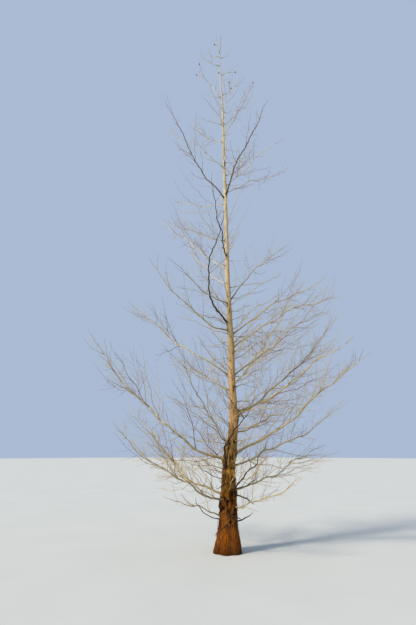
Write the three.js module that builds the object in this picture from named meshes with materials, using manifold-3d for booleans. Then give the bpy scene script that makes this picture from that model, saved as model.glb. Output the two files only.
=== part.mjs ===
// A dawn redwood in winter, with no leaves: a straight trunk on a fluted, flaring foot, long boughs low down
// that turn up at their tips, thinner branches above them, and the twigs that each of them carries.
// Millimetres, +Z up. The origin is the middle of the flat cut at ground level. Bearings are degrees from
// +X towards +Y: 0 is to the right, 90 away from the viewer, 180 to the left, 270 towards the viewer.
import * as THREE from "three";
import Module from "manifold-3d";
import { mergeVertices } from "three/addons/utils/BufferGeometryUtils.js";

const wasm = await Module();
wasm.setup();

// The trunk: its height, its thickness and how that falls off
const HEIGHT = 10800;
const TIP_WIDTH = 7; // across the very tip of the leader
const STEM_WIDTH = 133; // what the even taper starts from at the ground
const STEM_TAPER = 0.9; // power of the taper, 1 being a straight cone
const FLARE_WIDTH = 320; // what the spreading foot adds at the ground
const FLARE_FADE = 1050; // height over which the spread falls to a third
const FLUTE_DEPTH = 0.09; // share of the radius that the flutes of the foot rise and fall
const FLUTE_FADE = 1100; // height over which the flutes fade
const FLUTES = [
  { count: 3, share: 0.35, turn: 40 },
  { count: 5, share: 0.75, turn: 100 },
  { count: 8, share: 0.5, turn: 10 },
];
const COLLAR_SHARE = 0.5; // of a bough's width, how far the trunk swells round its foot
const COLLAR_FADE = 110; // height over which that swelling falls away
const COLLAR_SPREAD = 32; // degrees round the trunk over which it falls away
const TRUNK_SIDES = 20;
const TRUNK_STEPS = 44;
const TRUNK_STEP_POWER = 1.6; // crowds the trunk's rings towards the foot
const TRUNK_GUARD = 1.15; // how much wider than the trunk the space is that twigs keep out of

// How far the middle of the trunk stands off the origin to the right, by height
const LEAN = [
  [0, 0],
  [1200, 25],
  [2100, 125],
  [3000, 105],
  [5200, 45],
  [8400, 0],
  [10050, -65],
  [HEIGHT, -30],
];

// The limbs: a bough is bare to BOUGH_SHARE of its limb's length, and its twigs' stem goes on from there
const SEAT = 0.3; // gap between a piece and what carries it
const LIMB_TIP_WIDTH = 7;
const LIMB_TAPER = 0.75; // power of a limb's taper
const LIMB_COLLAR = 0.55; // how much a limb thickens where it meets the trunk
const WAVER = 0.014; // share of a limb's length that it strays from a clean curve
const WAVER_SETTLES = 3; // the waver is whole from this part of the length on, a third
const SWAY_WAVES = [1.3, 3.1]; // waves along a limb, from side to side
const LIFT_WAVES = [1.6, 3.7]; // and up and down
const SMALL_WAVE = 0.5; // size of the second wave of each pair beside the first
const BOUGH_SHARE = 0.46;
const BOUGH_SIDES = 6;
const BOUGH_STEPS = 7;
const STEM_SIDES = 4;
const STEM_STEP = 300; // length of one straight piece of a stem
const LEAST_STEM_STEPS = 3;
const SLOPE_STEP = 0.01; // share of a line either side of a place that its direction is taken over

// The twigs: rules for those on a stem, and for those on a twig. gap is the space between pairs, kept the
// share of twigs that grow, angle the degrees off what bears them, share their length beside what is left of
// it, least and most the limits of that length, width across the root, rise how much of it they turn up.
const SIDE_TWIGS = {
  gap: 270,
  kept: 0.62,
  angle: 42,
  share: 0.5,
  least: 160,
  most: 950,
  width: 9.5,
  rise: 0.4,
  steps: 2,
};
const FINE_TWIGS = {
  gap: 400,
  kept: 0.55,
  angle: 40,
  share: 0.45,
  least: 120,
  most: 330,
  width: 6.5,
  rise: 0.3,
  steps: 1,
};
const TWIG_SIDES = 3;
const TWIG_TIP_WIDTH = 3;
const TWIG_THINNEST = 0.75; // width of the shortest twig beside that of the longest
const TWIG_ROLL = 40; // most degrees that a twig leaves above or below its stem's own level
const TWIG_BEND = 0.16; // share of its length that a twig may bow
const GAP_SPREAD = [0.8, 1.25]; // least and most of the usual gap
const ANGLE_SPREAD = [0.8, 1.2];
const RISE_SPREAD = [0.5, 1.3];
const LENGTH_SPREAD = [0.6, 1.35];
const FIRST_TWIG = 60; // distance from a bough's end to the first twigs
const FIRST_SHARES = [0.2, 0.5]; // a branch's first twigs come between these shares of its length
const FIRST_FINE = 0.35; // share of a twig's length at which its own first twigs come
const LAST_TWIG = 0.92; // share of a stem beyond which it bears no twig
const ROOT_SHARE = 0.46; // most that a twig's root may be of what bears it, in width
const CLEARANCE = 9; // least space between twigs of two masses, or a twig and another limb
const GROUND_CLEARANCE = 120; // no twig comes lower
const CLEAR_PROBES = [0, 0.25, 0.5, 0.75, 1]; // places along a twig's pieces where clearance is tested
const CONE_WIDTH = 28;
const CONE_STRETCH = 1.15; // height of a cone beside its width
const CONE_SEAT = 0.85; // share of a twig's length at which it carries its cone
const LIMB_SEED = 1;
const TWIG_SEED = 100;

// The long boughs, from the ground up. from is the height where one leaves the trunk; reach and rise are how
// far out and up its tip lies; upturn is 0 for a straight line, more for a tip that turns up, less for one
// that levels out; turn is the degrees its bearing swings on the way; width is across it at the trunk.
const BOUGHS = [
  { from: 780, bearing: 216, turn: 0, reach: 2150, rise: 1230, upturn: 0.65, width: 34 },
  { from: 850, bearing: 145, turn: 0, reach: 2550, rise: 1760, upturn: 0.75, width: 38 },
  { from: 1430, bearing: 186, turn: 0, reach: 2600, rise: 2350, upturn: 0.75, width: 46 },
  { from: 1500, bearing: 350, turn: 0, reach: 2550, rise: 1850, upturn: 0.35, width: 42 },
  { from: 2140, bearing: 340, turn: 0, reach: 2200, rise: 1330, upturn: 0.15, width: 36 },
  { from: 2230, bearing: 42, turn: -8, reach: 2900, rise: 2330, upturn: 0.65, width: 38 },
  { from: 2870, bearing: 162, turn: 0, reach: 2250, rise: 1680, upturn: 0.2, width: 32 },
  { from: 3840, bearing: 198, turn: 70, reach: 1220, rise: 1780, upturn: 0.5, width: 36 },
  { from: 6500, bearing: 190, turn: 0, reach: 1300, rise: 2350, upturn: 0.4, width: 30 },
  { from: 6560, bearing: 310, turn: 8, reach: 1200, rise: 1600, upturn: -0.3, width: 31 },
];

// The thinner branches, twiggy from near the trunk, in the same terms. cones is how many cones hang on one.
const BRANCHES = [
  { from: 500, bearing: 206, turn: 0, reach: 1150, rise: 380, upturn: -0.3, width: 22 },
  { from: 680, bearing: 315, turn: 0, reach: 1530, rise: 550, upturn: 0.7, width: 24 },
  { from: 900, bearing: 38, turn: 0, reach: 2600, rise: 860, upturn: 0.35, width: 28 },
  { from: 900, bearing: 296, turn: 0, reach: 1400, rise: 900, upturn: 0.4, width: 24 },
  { from: 1130, bearing: 98, turn: 0, reach: 2000, rise: 1000, upturn: 0.6, width: 30 },
  { from: 1330, bearing: 26, turn: 0, reach: 2600, rise: 1180, upturn: 0.5, width: 32 },
  { from: 1720, bearing: 240, turn: 4, reach: 1750, rise: 1500, upturn: 0.8, width: 30 },
  { from: 1880, bearing: 58, turn: -4, reach: 2700, rise: 750, upturn: 0.35, width: 28 },
  { from: 1180, bearing: 222, turn: 90, reach: 600, rise: 1150, upturn: 0.3, width: 42 },
  { from: 2580, bearing: 118, turn: 8, reach: 2200, rise: 1000, upturn: 0.1, width: 26 },
  { from: 2680, bearing: 288, turn: 6, reach: 2000, rise: 950, upturn: 0.5, width: 25 },
  { from: 2860, bearing: 42, turn: 0, reach: 3200, rise: 2000, upturn: -0.1, width: 26 },
  { from: 3150, bearing: 88, turn: 0, reach: 2200, rise: 1350, upturn: 0.3, width: 26 },
  { from: 3380, bearing: 332, turn: 6, reach: 2100, rise: 770, upturn: -0.75, width: 27 },
  { from: 3640, bearing: 20, turn: 0, reach: 2150, rise: 1350, upturn: -0.3, width: 27 },
  { from: 3730, bearing: 206, turn: 0, reach: 1620, rise: 1230, upturn: 0.95, width: 30 },
  { from: 4250, bearing: 226, turn: 0, reach: 1500, rise: 560, upturn: 0.95, width: 20 },
  { from: 4290, bearing: 46, turn: 0, reach: 1950, rise: 1750, upturn: -0.4, width: 23 },
  { from: 4660, bearing: 122, turn: 0, reach: 1750, rise: 1650, upturn: 0.5, width: 20 },
  { from: 4950, bearing: 146, turn: 0, reach: 1850, rise: 1700, upturn: 0.1, width: 23 },
  { from: 5230, bearing: 254, turn: 0, reach: 950, rise: 1300, upturn: 0.9, width: 24 },
  { from: 5400, bearing: 84, turn: 0, reach: 1500, rise: 1150, upturn: 0.4, width: 20 },
  { from: 5560, bearing: 205, turn: 0, reach: 1350, rise: 220, upturn: 0.9, width: 18 },
  { from: 6390, bearing: 148, turn: 0, reach: 1420, rise: 580, upturn: 0.6, width: 17 },
  { from: 6640, bearing: 35, turn: 0, reach: 1760, rise: 1120, upturn: -0.2, width: 20 },
  { from: 6780, bearing: 325, turn: 0, reach: 1420, rise: 560, upturn: -0.4, width: 19 },
  { from: 7070, bearing: 56, turn: 0, reach: 1150, rise: 1500, upturn: 0.7, width: 19 },
  { from: 7240, bearing: 206, turn: 0, reach: 780, rise: 580, upturn: 0.4, width: 17 },
  { from: 7300, bearing: 284, turn: 0, reach: 420, rise: 2000, upturn: 0.1, width: 22, cones: 3 },
  { from: 7880, bearing: 140, turn: 0, reach: 950, rise: 1000, upturn: 0.5, width: 17 },
  { from: 8020, bearing: 344, turn: 0, reach: 720, rise: 1250, upturn: 0.05, width: 20, cones: 1 },
  { from: 8310, bearing: 200, turn: 0, reach: 600, rise: 70, upturn: 0.9, width: 14 },
  { from: 9010, bearing: 172, turn: 0, reach: 640, rise: 1000, upturn: 0.0, width: 17, cones: 2 },
  { from: 9110, bearing: 24, turn: 0, reach: 480, rise: 680, upturn: 0.8, width: 14 },
  { from: 9640, bearing: 346, turn: 0, reach: 430, rise: 200, upturn: 0.8, width: 13, cones: 1 },
  { from: 9900, bearing: 194, turn: 0, reach: 460, rise: 220, upturn: 0.8, width: 12 },
  { from: 10130, bearing: 8, turn: 0, reach: 250, rise: 170, upturn: 0.9, width: 11 },
  { from: 10170, bearing: 160, turn: 0, reach: 430, rise: 260, upturn: 0.4, width: 11 },
  { from: 10270, bearing: 214, turn: 0, reach: 130, rise: 400, upturn: 0.3, width: 10, cones: 1 },
];

const UP = new THREE.Vector3(0, 0, 1);
const rad = THREE.MathUtils.degToRad;
const mix = THREE.MathUtils.lerp;

// A seeded row of even random numbers from 0 to 1: a counter, mixed by shifts and odd multipliers
function draws(seed) {
  let state = seed >>> 0;
  return () => {
    state = (state + 0x6d2b79f5) >>> 0;
    let n = state;
    n = Math.imul(n ^ (n >>> 15), n | 1);
    n ^= n + Math.imul(n ^ (n >>> 7), n | 61);
    return ((n ^ (n >>> 14)) >>> 0) / 4294967296;
  };
}

// The middle of the trunk at a height, eased from each station of LEAN to the next
function trunkAxis(z) {
  let i = 0;
  while (i < LEAN.length - 2 && z > LEAN[i + 1][0]) i += 1;
  const [lowZ, lowX] = LEAN[i];
  const [highZ, highX] = LEAN[i + 1];
  const ease = THREE.MathUtils.smoothstep(z, lowZ, highZ);
  return new THREE.Vector3(mix(lowX, highX, ease), 0, z);
}

function trunkWidth(z) {
  const left = Math.max(0, 1 - z / HEIGHT);
  const taper = (STEM_WIDTH - TIP_WIDTH) * left ** STEM_TAPER;
  return TIP_WIDTH + taper + FLARE_WIDTH * Math.exp(-z / FLARE_FADE);
}

// Radius of the trunk at a height and bearing: the round stem, its flutes, and a swelling at each bough
function trunkRadius(z, bearing) {
  const fade = FLUTE_DEPTH * Math.exp(-z / FLUTE_FADE);
  const flutes = FLUTES.reduce((sum, f) => sum + f.share * Math.cos(f.count * rad(bearing + f.turn)), 0);
  let swell = 0;
  for (const bough of BOUGHS) {
    const high = (z - bough.from) / COLLAR_FADE;
    const round = THREE.MathUtils.euclideanModulo(bearing - bough.bearing + 180, 360) - 180;
    swell += COLLAR_SHARE * bough.width * Math.exp(-(high ** 2) - (round / COLLAR_SPREAD) ** 2);
  }
  return (trunkWidth(z) / 2) * (1 + fade * flutes) + swell;
}

// A closed cylinder with each point moved: place(ring, turn, rim) gives where the point of that ring at that
// turn goes, with rim 0 in the middle of a flat end and 1 on the surface. A pointed one ends in a tip.
function tube(sides, steps, pointed, place) {
  const geometry = new THREE.CylinderGeometry(pointed ? 0 : 1, 1, 1, sides, steps);
  const { position } = geometry.attributes;
  const point = new THREE.Vector3();
  for (let i = 0; i < position.count; i += 1) {
    point.fromBufferAttribute(position, i);
    const ring = Math.round((point.y + 0.5) * steps);
    const rim = Math.hypot(point.x, point.z) > 0 ? 1 : 0;
    const moved = place(ring, Math.atan2(point.x, point.z), rim);
    position.setXYZ(i, moved.x, moved.y, moved.z);
  }
  return geometry;
}

// The trunk as a closed surface; grown makes it that much fatter all round
function trunkSkin(grown) {
  return tube(TRUNK_SIDES, TRUNK_STEPS, false, (ring, turn, rim) => {
    const z = HEIGHT * (ring / TRUNK_STEPS) ** TRUNK_STEP_POWER;
    const r = rim * (trunkRadius(z, THREE.MathUtils.radToDeg(turn)) + grown);
    return trunkAxis(z).add(new THREE.Vector3(r * Math.cos(turn), r * Math.sin(turn), 0));
  });
}

// A tapering round limb along a line of stations, each square to its own way along; the last may be a point
function limbSkin(line, sides) {
  const sideways = [];
  let across = Math.abs(line[0].along.z) < 0.9 ? UP : new THREE.Vector3(1, 0, 0);
  for (const { along } of line) {
    across = across.clone().addScaledVector(along, -across.dot(along)).normalize();
    sideways.push([across, along.clone().cross(across)]);
  }
  const pointed = line[line.length - 1].width === 0;
  return tube(sides, line.length - 1, pointed, (ring, turn, rim) => {
    const { at, width } = line[ring];
    const [first, second] = sideways[ring];
    const r = (rim * width) / 2;
    return at
      .clone()
      .addScaledVector(first, r * Math.cos(turn))
      .addScaledVector(second, r * Math.sin(turn));
  });
}

function solid(geometry) {
  geometry.deleteAttribute("normal");
  geometry.deleteAttribute("uv");
  const merged = mergeVertices(geometry, 1e-3);
  const vertProperties = merged.attributes.position.array;
  const triVerts = new Uint32Array(merged.index.array);
  return new wasm.Manifold(new wasm.Mesh({ numProp: 3, vertProperties, triVerts }));
}

function geometryOf(made) {
  const { vertProperties, triVerts } = made.getMesh();
  const geometry = new THREE.BufferGeometry();
  geometry.setAttribute("position", new THREE.BufferAttribute(new Float32Array(vertProperties), 3));
  geometry.setIndex(new THREE.BufferAttribute(new Uint32Array(triVerts), 1));
  return geometry;
}

// Two waves along a share t of a limb, the second smaller, each started at its own phase
function waves(t, counts, phases) {
  const [long, short] = counts.map((count, i) => Math.sin(2 * Math.PI * (count * t + phases[i])));
  return long + SMALL_WAVE * short;
}

// A limb's line: where its middle lies at a share t of its length, and how thick it is there
function limbLine(limb, seed) {
  const next = draws(seed);
  const swayPhases = [next(), next()];
  const liftPhases = [next(), next()];
  const foot = trunkAxis(limb.from);
  const length = Math.hypot(limb.reach, limb.rise);
  const at = (t) => {
    const bearing = rad(limb.bearing + limb.turn * t);
    const up = limb.rise * ((1 - limb.upturn) * t + limb.upturn * t * t);
    const stray = WAVER * length * Math.min(1, WAVER_SETTLES * t);
    const sway = stray * waves(t, SWAY_WAVES, swayPhases);
    const lift = stray * waves(t, LIFT_WAVES, liftPhases);
    return new THREE.Vector3(
      foot.x + limb.reach * t * Math.cos(bearing) - sway * Math.sin(bearing),
      foot.y + limb.reach * t * Math.sin(bearing) + sway * Math.cos(bearing),
      foot.z + up + lift,
    );
  };
  const width = (t) => {
    const taper = LIMB_TIP_WIDTH + (limb.width - LIMB_TIP_WIDTH) * (1 - t) ** LIMB_TAPER;
    const out = Math.max(0, limb.reach * t - trunkWidth(limb.from) / 2);
    return taper * (1 + LIMB_COLLAR * Math.exp(-out / limb.width));
  };
  return { at, width, length };
}

// Stations along part of a line; the end of the line has no width, so that it comes to a point
function stations(line, from, to, steps) {
  return Array.from({ length: steps + 1 }, (_, i) => {
    const t = mix(from, to, i / steps);
    const along = line
      .at(t + SLOPE_STEP)
      .sub(line.at(t - SLOPE_STEP))
      .normalize();
    return { at: line.at(t), along, width: t < 1 ? line.width(t) : 0 };
  });
}

function stationsLength(line) {
  return line.slice(1).reduce((sum, { at }, i) => sum + at.distanceTo(line[i].at), 0);
}

// The place, direction and width at a share t of the way along a line of stations
function onStations(line, t) {
  const place = t * (line.length - 1);
  const i = Math.floor(place);
  return {
    at: line[i].at.clone().lerp(line[i + 1].at, place - i),
    along: line[i + 1].at.clone().sub(line[i].at).normalize(),
    width: mix(line[i].width, line[i + 1].width, place - i),
  };
}

// A twig's line: it leaves its root to one side and forward, turns up, and bows a little on the way
function twigLine(root, side, rule, length, next) {
  const { along } = root;
  const angle = rad(rule.angle * mix(...ANGLE_SPREAD, next()));
  const roll = rad(mix(-TWIG_ROLL, TWIG_ROLL, next()));
  const lift = rule.rise * mix(...RISE_SPREAD, next());
  const bow = new THREE.Vector3(next() - 0.5, next() - 0.5, next() - 0.5);
  const level = along.clone().cross(UP).normalize();
  const above = level.clone().cross(along);
  const out = level.multiplyScalar(side * Math.cos(roll)).addScaledVector(above, Math.sin(roll));
  const start = along.clone().multiplyScalar(Math.cos(angle)).addScaledVector(out, Math.sin(angle));
  const at = (t) =>
    root.at
      .clone()
      .addScaledVector(start, length * t)
      .addScaledVector(UP, length * lift * t * t)
      .addScaledVector(bow, TWIG_BEND * length * Math.sin(Math.PI * t));
  const usual = rule.width * mix(TWIG_THINNEST, 1, length / rule.most);
  const thick = Math.min(usual, ROOT_SHARE * root.width);
  return { at, width: (t) => mix(thick, TWIG_TIP_WIDTH, t) };
}

// Everything that stands already, as straight pieces with a thickness and an owner
const standing = [];

function stand(line, owner) {
  for (let i = 0; i + 1 < line.length; i += 1) {
    const piece = new THREE.Line3(line[i].at, line[i + 1].at);
    standing.push({ piece, width: Math.max(line[i].width, line[i + 1].width), owner });
  }
}

// Whether a twig would come too near the ground or anything that another piece owns
function blocked(line, owner) {
  const others = standing.filter((one) => one.owner !== owner);
  const nearest = new THREE.Vector3();
  return line.slice(1).some((end, i) => {
    const start = line[i];
    return CLEAR_PROBES.some((part) => {
      const at = start.at.clone().lerp(end.at, part);
      if (at.z < GROUND_CLEARANCE) return true;
      return others.some(({ piece, width }) => {
        piece.closestPointToPoint(at, true, nearest);
        return nearest.distanceTo(at) < (start.width + width) / 2 + CLEARANCE;
      });
    });
  });
}

// The twigs along a line from a share of it on, in pairs that are not always whole, and the twigs on those
function grow(line, from, rule, owner, next, finer) {
  const twigs = [];
  const whole = stationsLength(line);
  for (let t = from; t < LAST_TWIG; t += (rule.gap / whole) * mix(...GAP_SPREAD, next())) {
    for (const side of [-1, 1]) {
      const kept = next() < rule.kept;
      const size = rule.share * (whole * (1 - t) + rule.least) * mix(...LENGTH_SPREAD, next());
      const length = THREE.MathUtils.clamp(size, rule.least, rule.most);
      const twig = stations(twigLine(onStations(line, t), side, rule, length, next), 0, 1, rule.steps);
      if (!kept || blocked(twig, owner)) continue;
      stand(twig, owner);
      twigs.push(twig);
      if (finer && length > finer.gap) twigs.push(...grow(twig, FIRST_FINE, finer, owner, next));
    }
  }
  return twigs;
}

function cone(at) {
  const made = new THREE.IcosahedronGeometry(CONE_WIDTH / 2, 0);
  made.scale(1, 1, CONE_STRETCH);
  made.translate(at.x, at.y, at.z);
  return solid(made);
}

// A stem with its twigs, and cones near the ends of the last of them, as one solid
function mass(stem, twigs, cones) {
  let made = solid(limbSkin(stem, STEM_SIDES));
  for (const twig of twigs) made = made.add(solid(limbSkin(twig, TWIG_SIDES)));
  for (const twig of twigs.slice(twigs.length - cones)) {
    made = made.add(cone(onStations(twig, CONE_SEAT).at));
  }
  return made;
}

const BARK = new THREE.MeshStandardMaterial({ color: 0x9a6038, roughness: 0.9, metalness: 0 });
const LIMB_BARK = new THREE.MeshStandardMaterial({ color: 0xb49a72, roughness: 0.85, metalness: 0 });
const TWIG_BARK = new THREE.MeshStandardMaterial({ color: 0x96705c, roughness: 0.8, metalness: 0 });

const tree = new THREE.Group();

function add(name, made, material) {
  const mesh = new THREE.Mesh(geometryOf(made), material);
  mesh.name = name;
  tree.add(mesh);
}

// The trunk, and the same a little fatter to cut the limbs that meet it
const socket = solid(trunkSkin(SEAT));
add("trunk", solid(trunkSkin(0)), BARK);
const guard = Array.from({ length: TRUNK_STEPS + 1 }, (_, i) => {
  const z = (HEIGHT * i) / TRUNK_STEPS;
  return { at: trunkAxis(z), width: TRUNK_GUARD * trunkWidth(z) };
});
stand(guard, "trunk");

// Every limb is placed before any twig, so that no twig runs into one
const limbs = [...BOUGHS, ...BRANCHES].map((limb, i) => {
  const isBough = i < BOUGHS.length;
  const split = isBough ? BOUGH_SHARE : 0;
  const name = `${isBough ? "bough" : "branch"}_${String(i + 1).padStart(2, "0")}`;
  const line = limbLine(limb, LIMB_SEED + i);
  const steps = Math.max(LEAST_STEM_STEPS, Math.round((line.length * (1 - split)) / STEM_STEP));
  const stem = stations(line, split, 1, steps);
  const bare = isBough ? stations(line, 0, split, BOUGH_STEPS) : null;
  if (isBough) {
    stem[0].at.addScaledVector(stem[0].along, SEAT);
    stand(bare, name);
  }
  stand(stem, `${name}_twigs`);
  return { limb, name, stem, bare, seed: TWIG_SEED + i };
});

for (const { limb, name, stem, bare, seed } of limbs) {
  const owner = `${name}_twigs`;
  const clear = (trunkWidth(limb.from) / 2 + SIDE_TWIGS.least) / limb.reach;
  const from = bare ? FIRST_TWIG / stationsLength(stem) : THREE.MathUtils.clamp(clear, ...FIRST_SHARES);
  const twigs = grow(stem, from, SIDE_TWIGS, owner, draws(seed), FINE_TWIGS);
  const made = mass(stem, twigs, limb.cones ?? 0);
  if (bare) add(name, solid(limbSkin(bare, BOUGH_SIDES)).subtract(socket), LIMB_BARK);
  add(owner, bare ? made : made.subtract(socket), TWIG_BARK);
}

export default tree;
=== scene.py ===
"""A dawn redwood in winter: its bark, boughs, branches, twigs, winter buds and cones, with no leaves.

Metres, +Z up. The origin is the middle of the trunk's flat cut at ground level. Bearings are degrees from +X
towards +Y, so 270 faces the camera. The limbs and their main twigs follow the rule and the seeds of the solid
tree, so they lie where its solids lie, and the finer shoots grow on from them by the same rule.
"""
import math
from typing import NamedTuple

import bpy
import numpy as np
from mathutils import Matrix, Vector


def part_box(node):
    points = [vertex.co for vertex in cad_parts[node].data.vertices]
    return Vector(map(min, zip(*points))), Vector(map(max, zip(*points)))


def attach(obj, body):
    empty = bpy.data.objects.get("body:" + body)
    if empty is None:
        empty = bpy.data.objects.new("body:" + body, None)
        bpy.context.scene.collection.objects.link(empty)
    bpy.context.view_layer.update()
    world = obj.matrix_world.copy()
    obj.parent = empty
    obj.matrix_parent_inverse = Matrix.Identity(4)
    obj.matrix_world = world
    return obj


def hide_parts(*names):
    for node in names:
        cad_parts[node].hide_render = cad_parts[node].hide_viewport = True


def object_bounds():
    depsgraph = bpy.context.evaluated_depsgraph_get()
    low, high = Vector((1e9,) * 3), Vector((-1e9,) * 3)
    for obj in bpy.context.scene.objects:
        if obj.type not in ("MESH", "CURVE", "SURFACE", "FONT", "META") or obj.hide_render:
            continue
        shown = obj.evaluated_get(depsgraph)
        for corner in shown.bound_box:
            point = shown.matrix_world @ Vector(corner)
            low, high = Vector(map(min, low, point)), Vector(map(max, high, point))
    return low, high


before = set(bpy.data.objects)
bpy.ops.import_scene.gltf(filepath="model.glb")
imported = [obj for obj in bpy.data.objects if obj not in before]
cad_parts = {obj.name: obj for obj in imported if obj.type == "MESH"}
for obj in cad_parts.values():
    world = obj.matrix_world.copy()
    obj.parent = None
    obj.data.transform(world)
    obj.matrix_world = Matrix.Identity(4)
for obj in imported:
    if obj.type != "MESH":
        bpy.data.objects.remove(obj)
cad_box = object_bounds()

UP = np.array([0.0, 0.0, 1.0])
MM = 0.001

# The trunk: its height, its thickness and how that falls off
HEIGHT = 10.8
TIP_WIDTH = 0.007
STEM_WIDTH = 0.133
STEM_TAPER = 0.9
FLARE_WIDTH = 0.32
FLARE_FADE = 1.05
FLUTE_DEPTH = 0.09
FLUTE_FADE = 1.1
FLUTES = [(3, 0.35, 40), (5, 0.75, 100), (8, 0.5, 10)]  # count round the foot, share, degrees turned
COLLAR_SHARE = 0.5
COLLAR_FADE = 0.11
COLLAR_SPREAD = 32
COLLAR_WRAP = 1.1  # least of that spread, in widths of the limb
SMALL_COLLAR = 0.7  # share of the swelling round a branch or a shoot
SMALL_FADE = 2.2  # and how far it reaches up and down, in widths of the branch
LEAST_FADE = 0.03
TRUNK_STEPS = 44
TRUNK_GUARD = 1.15

# How far the middle of the trunk stands off the origin to the right, by height
LEAN_HEIGHTS = np.array([0, 1.2, 2.1, 3.0, 5.2, 8.4, 10.05, HEIGHT])
LEAN_OFFSETS = np.array([0, 0.025, 0.125, 0.105, 0.045, 0, -0.065, -0.03])

# The limbs
SEAT = 0.0003
LIMB_TIP_WIDTH = 0.007
LIMB_TAPER = 0.75
LIMB_COLLAR = 0.55
WAVER = 0.014
WAVER_SETTLES = 3
SWAY_WAVES = (1.3, 3.1)
LIFT_WAVES = (1.6, 3.7)
SMALL_WAVE = 0.5
BOUGH_SHARE = 0.46
BOUGH_STEPS = 7
STEM_STEP = 0.3
LEAST_STEM_STEPS = 3
SLOPE_STEP = 0.01

# The twigs
GAP_SPREAD = (0.8, 1.25)
ANGLE_SPREAD = (0.8, 1.2)
RISE_SPREAD = (0.5, 1.3)
LENGTH_SPREAD = (0.6, 1.35)
TWIG_BEND = 0.16
TWIG_TIP_WIDTH = 0.003
TWIG_THINNEST = 0.75
FIRST_TWIG = 0.06
FIRST_SHARES = (0.2, 0.5)
FIRST_FINE = 0.35
LAST_TWIG = 0.92
ROOT_SHARE = 0.46
CLEARANCE = 0.009
GROUND_CLEARANCE = 0.12
CLEAR_PROBES = np.array([0, 0.25, 0.5, 0.75, 1])
CONE_WIDTH = 0.028
CONE_STRETCH = 1.15
CONE_SEAT = 0.85
CONE_TWIG_WIDTH = 0.0075

# Seeds of what is drawn by chance. Limbs and twigs count on from theirs.
LIMB_SEED, TWIG_SEED = 1, 100
HOOKED_SEED, INNER_SEED = 900, 1000
LIMB_NOISE, SHOOT_NOISE = 500, 700
LOOSE_SEED, BUD_SEED, CROWN_SEED = 21, 31, 41


class Rule(NamedTuple):
    """How shoots grow on what bears them: the gap between pairs, the share that grow, their angle, their
    length beside what is left of their bearer, its limits, width at the root, how much of it they turn up.
    Then the straight pieces of each in the solid tree, the part of them that still grows at the top, and the
    degrees that they may roll above or below their bearer's level."""
    gap: float
    kept: float
    angle: float
    share: float
    least: float
    most: float
    width: float
    rise: float
    pieces: int = 0
    high: float = 1.0
    roll: float = 40


SIDE_TWIGS = Rule(0.27, 0.62, 42, 0.5, 0.16, 0.95, 0.0095, 0.4, 2)
FINE_TWIGS = Rule(0.4, 0.55, 40, 0.45, 0.12, 0.33, 0.0065, 0.3, 1)
# The orders that the solid tree doesn't carry
BRANCHLETS = Rule(0.15, 0.5, 36, 0.6, 0.3, 1.3, 0.014, 0.12, high=0.0, roll=75)
SHORT_SHOOTS = Rule(0.12, 0.45, 50, 0.22, 0.06, 0.42, 0.0066, 0.2, high=0.8, roll=70)
SPRIGS = Rule(0.19, 0.45, 46, 0.5, 0.1, 0.5, 0.0075, 0.0, high=0.15, roll=80)
TWIGLETS = Rule(0.1, 0.45, 50, 0.42, 0.05, 0.24, 0.0042, 0.0, high=0.85, roll=80)
TIPLETS = Rule(0.06, 0.4, 52, 0.42, 0.025, 0.09, 0.0028, 0.0, high=1.0, roll=80)
CROWN_LOW, CROWN_TOP = 2.3, 5.0  # heights between which those orders thin out
FIRST_SIDE = 0.08  # from the trunk's skin to a limb's first finer shoot
LATEST_SIDE = 0.8  # the furthest share of a limb at which that may be
FIRST_FINER = 0.18  # share of a shoot at which it first bears finer ones
CLEAR_SHARES = [0.35, 0.7, 1.0]  # of a finer shoot, where it is tested for room
LIMB_SAMPLES = 97
MASS_MARGIN = 0.04  # how far finer shoots may leave the space of their limb's mass
BOX_EDGE = 0.002  # and how far they stay inside the whole tree's


class Limb(NamedTuple):
    """A limb: the height where it leaves the trunk, its bearing and how far that swings on the way, how far
    out and up its tip lies, how it turns up, its width at the trunk, and how many cones it carries."""
    base: float
    bearing: float
    turn: float
    reach: float
    rise: float
    upturn: float
    width: float
    cones: int = 0


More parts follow.
